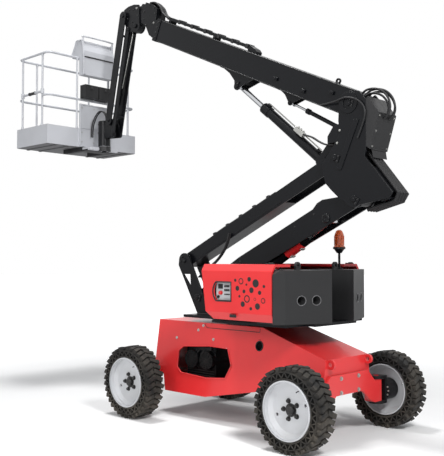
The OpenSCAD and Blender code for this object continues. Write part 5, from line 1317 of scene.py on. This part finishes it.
# %% Apron, boxes and entry rail
apron_x = rear - 14.3
kit = Kit()
for y in (-222, 218):
    kit.block((apron_x - 5, y, base + 250), (10, 14, 520), 0, 2)
kit.block((apron_x - 5, -2, base + 508), (10, 450, 12), 0, 2)
kit.block((apron_x - 4, -2, base + 205), (8, 446, 8), 0, 2)
kit.done("apron_edges", FINISH["pale_paint"], "platform", "pale_paint")
screws = [((apron_x, y, base + z), (-1, 0, 0)) for y in (-190, 0, 190) for z in (30, 150, 470)]
bolts("apron_screws", screws, 7, 5, ZINC, "platform")
kit = Kit()
for y in (-109, 109):
    kit.block((rear - 56, y, base + 752), (118, 206, 10), 0, 3)
    kit.block((rear - 116, y, base + 722), (6, 44, 40), 0, 2)
    kit.lathe((rear - 119, y, base + 712), (-1, 0, 0), [(8, 0), (8, 4), (5, 6), (0, 6)], 14)
kit.done("box_lids", SATIN_BLACK, "platform", "black_paint")
bar_x = (POST_X[0] + POST_X[1]) / 2
bar_z = FLOOR_Z + RAIL_H * 0.52 + 15 + 6 + 30
kit = Kit()
for start, outer, length in ((-60, 19, 120), (-66, 22, 8), (58, 22, 8)):
    kit.ring((bar_x + start, RAIL_Y, bar_z), (1, 0, 0), 15.2, outer, length, 24)
kit.done("entry_grip", SATIN_BLACK, "entry_bar", "hose_rubber")
print("apron screws:", len(screws))

# %% [markdown]
# A pale floor and a bright world make a plain studio. The world shows white to the camera and in
# reflections, and lights the machine much less. The floor glows for the camera alone, more with distance,
# so that it fades into the white and keeps its shadow near the wheels. From below it is clear.

# %% Floor and light
bpy.ops.mesh.primitive_plane_add(size=120, location=(0, 0, -0.0005))
floor = bpy.context.object
floor.name = "studio_floor"
mat = bpy.data.materials.new("studio_floor")
mat.use_nodes = True
tree = mat.node_tree
shader = tree.nodes["Principled BSDF"]
shader.inputs["Base Color"].default_value = (0.93, 0.93, 0.93, 1)
shader.inputs["Roughness"].default_value = 0.9
shader.inputs["Specular IOR Level"].default_value = 0.1
glow = tree.nodes.new("ShaderNodeEmission")
rays = tree.nodes.new("ShaderNodeLightPath")
apart = tree.nodes.new("ShaderNodeVectorMath")
apart.operation = "LENGTH"
tree.links.new(object_coords(tree), apart.inputs[0])
far = tree.nodes.new("ShaderNodeMapRange")
for key, value in (("From Min", 3.0), ("From Max", 9.0), ("To Min", 0.04), ("To Max", 0.85)):
    far.inputs[key].default_value = value
tree.links.new(apart.outputs["Value"], far.inputs["Value"])
strength = maths(tree, "MULTIPLY", rays.outputs["Is Camera Ray"], far.outputs[0])
tree.links.new(strength, glow.inputs["Strength"])
summed = tree.nodes.new("ShaderNodeAddShader")
tree.links.new(shader.outputs[0], summed.inputs[0])
tree.links.new(glow.outputs[0], summed.inputs[1])
clear = tree.nodes.new("ShaderNodeBsdfTransparent")
one_sided = tree.nodes.new("ShaderNodeMixShader")
tree.links.new(tree.nodes.new("ShaderNodeNewGeometry").outputs["Backfacing"], one_sided.inputs[0])
tree.links.new(summed.outputs[0], one_sided.inputs[1])
tree.links.new(clear.outputs[0], one_sided.inputs[2])
tree.links.new(one_sided.outputs[0], tree.nodes["Material Output"].inputs["Surface"])
floor.data.materials.append(mat)

world = bpy.data.worlds.new("studio")
scene.world = world
world.use_nodes = True
tree = world.node_tree
plain = tree.nodes["Background"]
plain.inputs["Color"].default_value = (0.95, 0.97, 1.0, 1)
plain.inputs["Strength"].default_value = 0.3
white = tree.nodes.new("ShaderNodeBackground")
white.inputs["Color"].default_value = (1, 1, 1, 1)
rays = tree.nodes.new("ShaderNodeLightPath")
seen = maths(tree, "MAXIMUM", rays.outputs["Is Camera Ray"], rays.outputs["Is Glossy Ray"])
seen = maths(tree, "MAXIMUM", seen, rays.outputs["Is Transmission Ray"])
mixed = tree.nodes.new("ShaderNodeMixShader")
tree.links.new(seen, mixed.inputs[0])
tree.links.new(plain.outputs[0], mixed.inputs[1])
tree.links.new(white.outputs[0], mixed.inputs[2])
tree.links.new(mixed.outputs[0], tree.nodes["World Output"].inputs["Surface"])


def lamp(name, where, target, size, power):
    data = bpy.data.lights.new(name, "AREA")
    data.shape, data.size, data.energy = "DISK", size, power
    obj = bpy.data.objects.new(name, data)
    obj.location = where
    obj.rotation_euler = (Vector(target) - Vector(where)).to_track_quat("-Z", "Y").to_euler()
    scene.collection.objects.link(obj)


lamp("key", (-2.5, 9.2, 5.6), (0, 0, 1.6), 4.0, 280)
lamp("sun", (-7.6, 3.2, 6.6), (-1.4, 0, 0.8), 1.8, 480)
lamp("top", (0.6, 1.0, 10.5), (-0.6, 0, 1.0), 1.8, 520)
print("floor, world and three lamps")
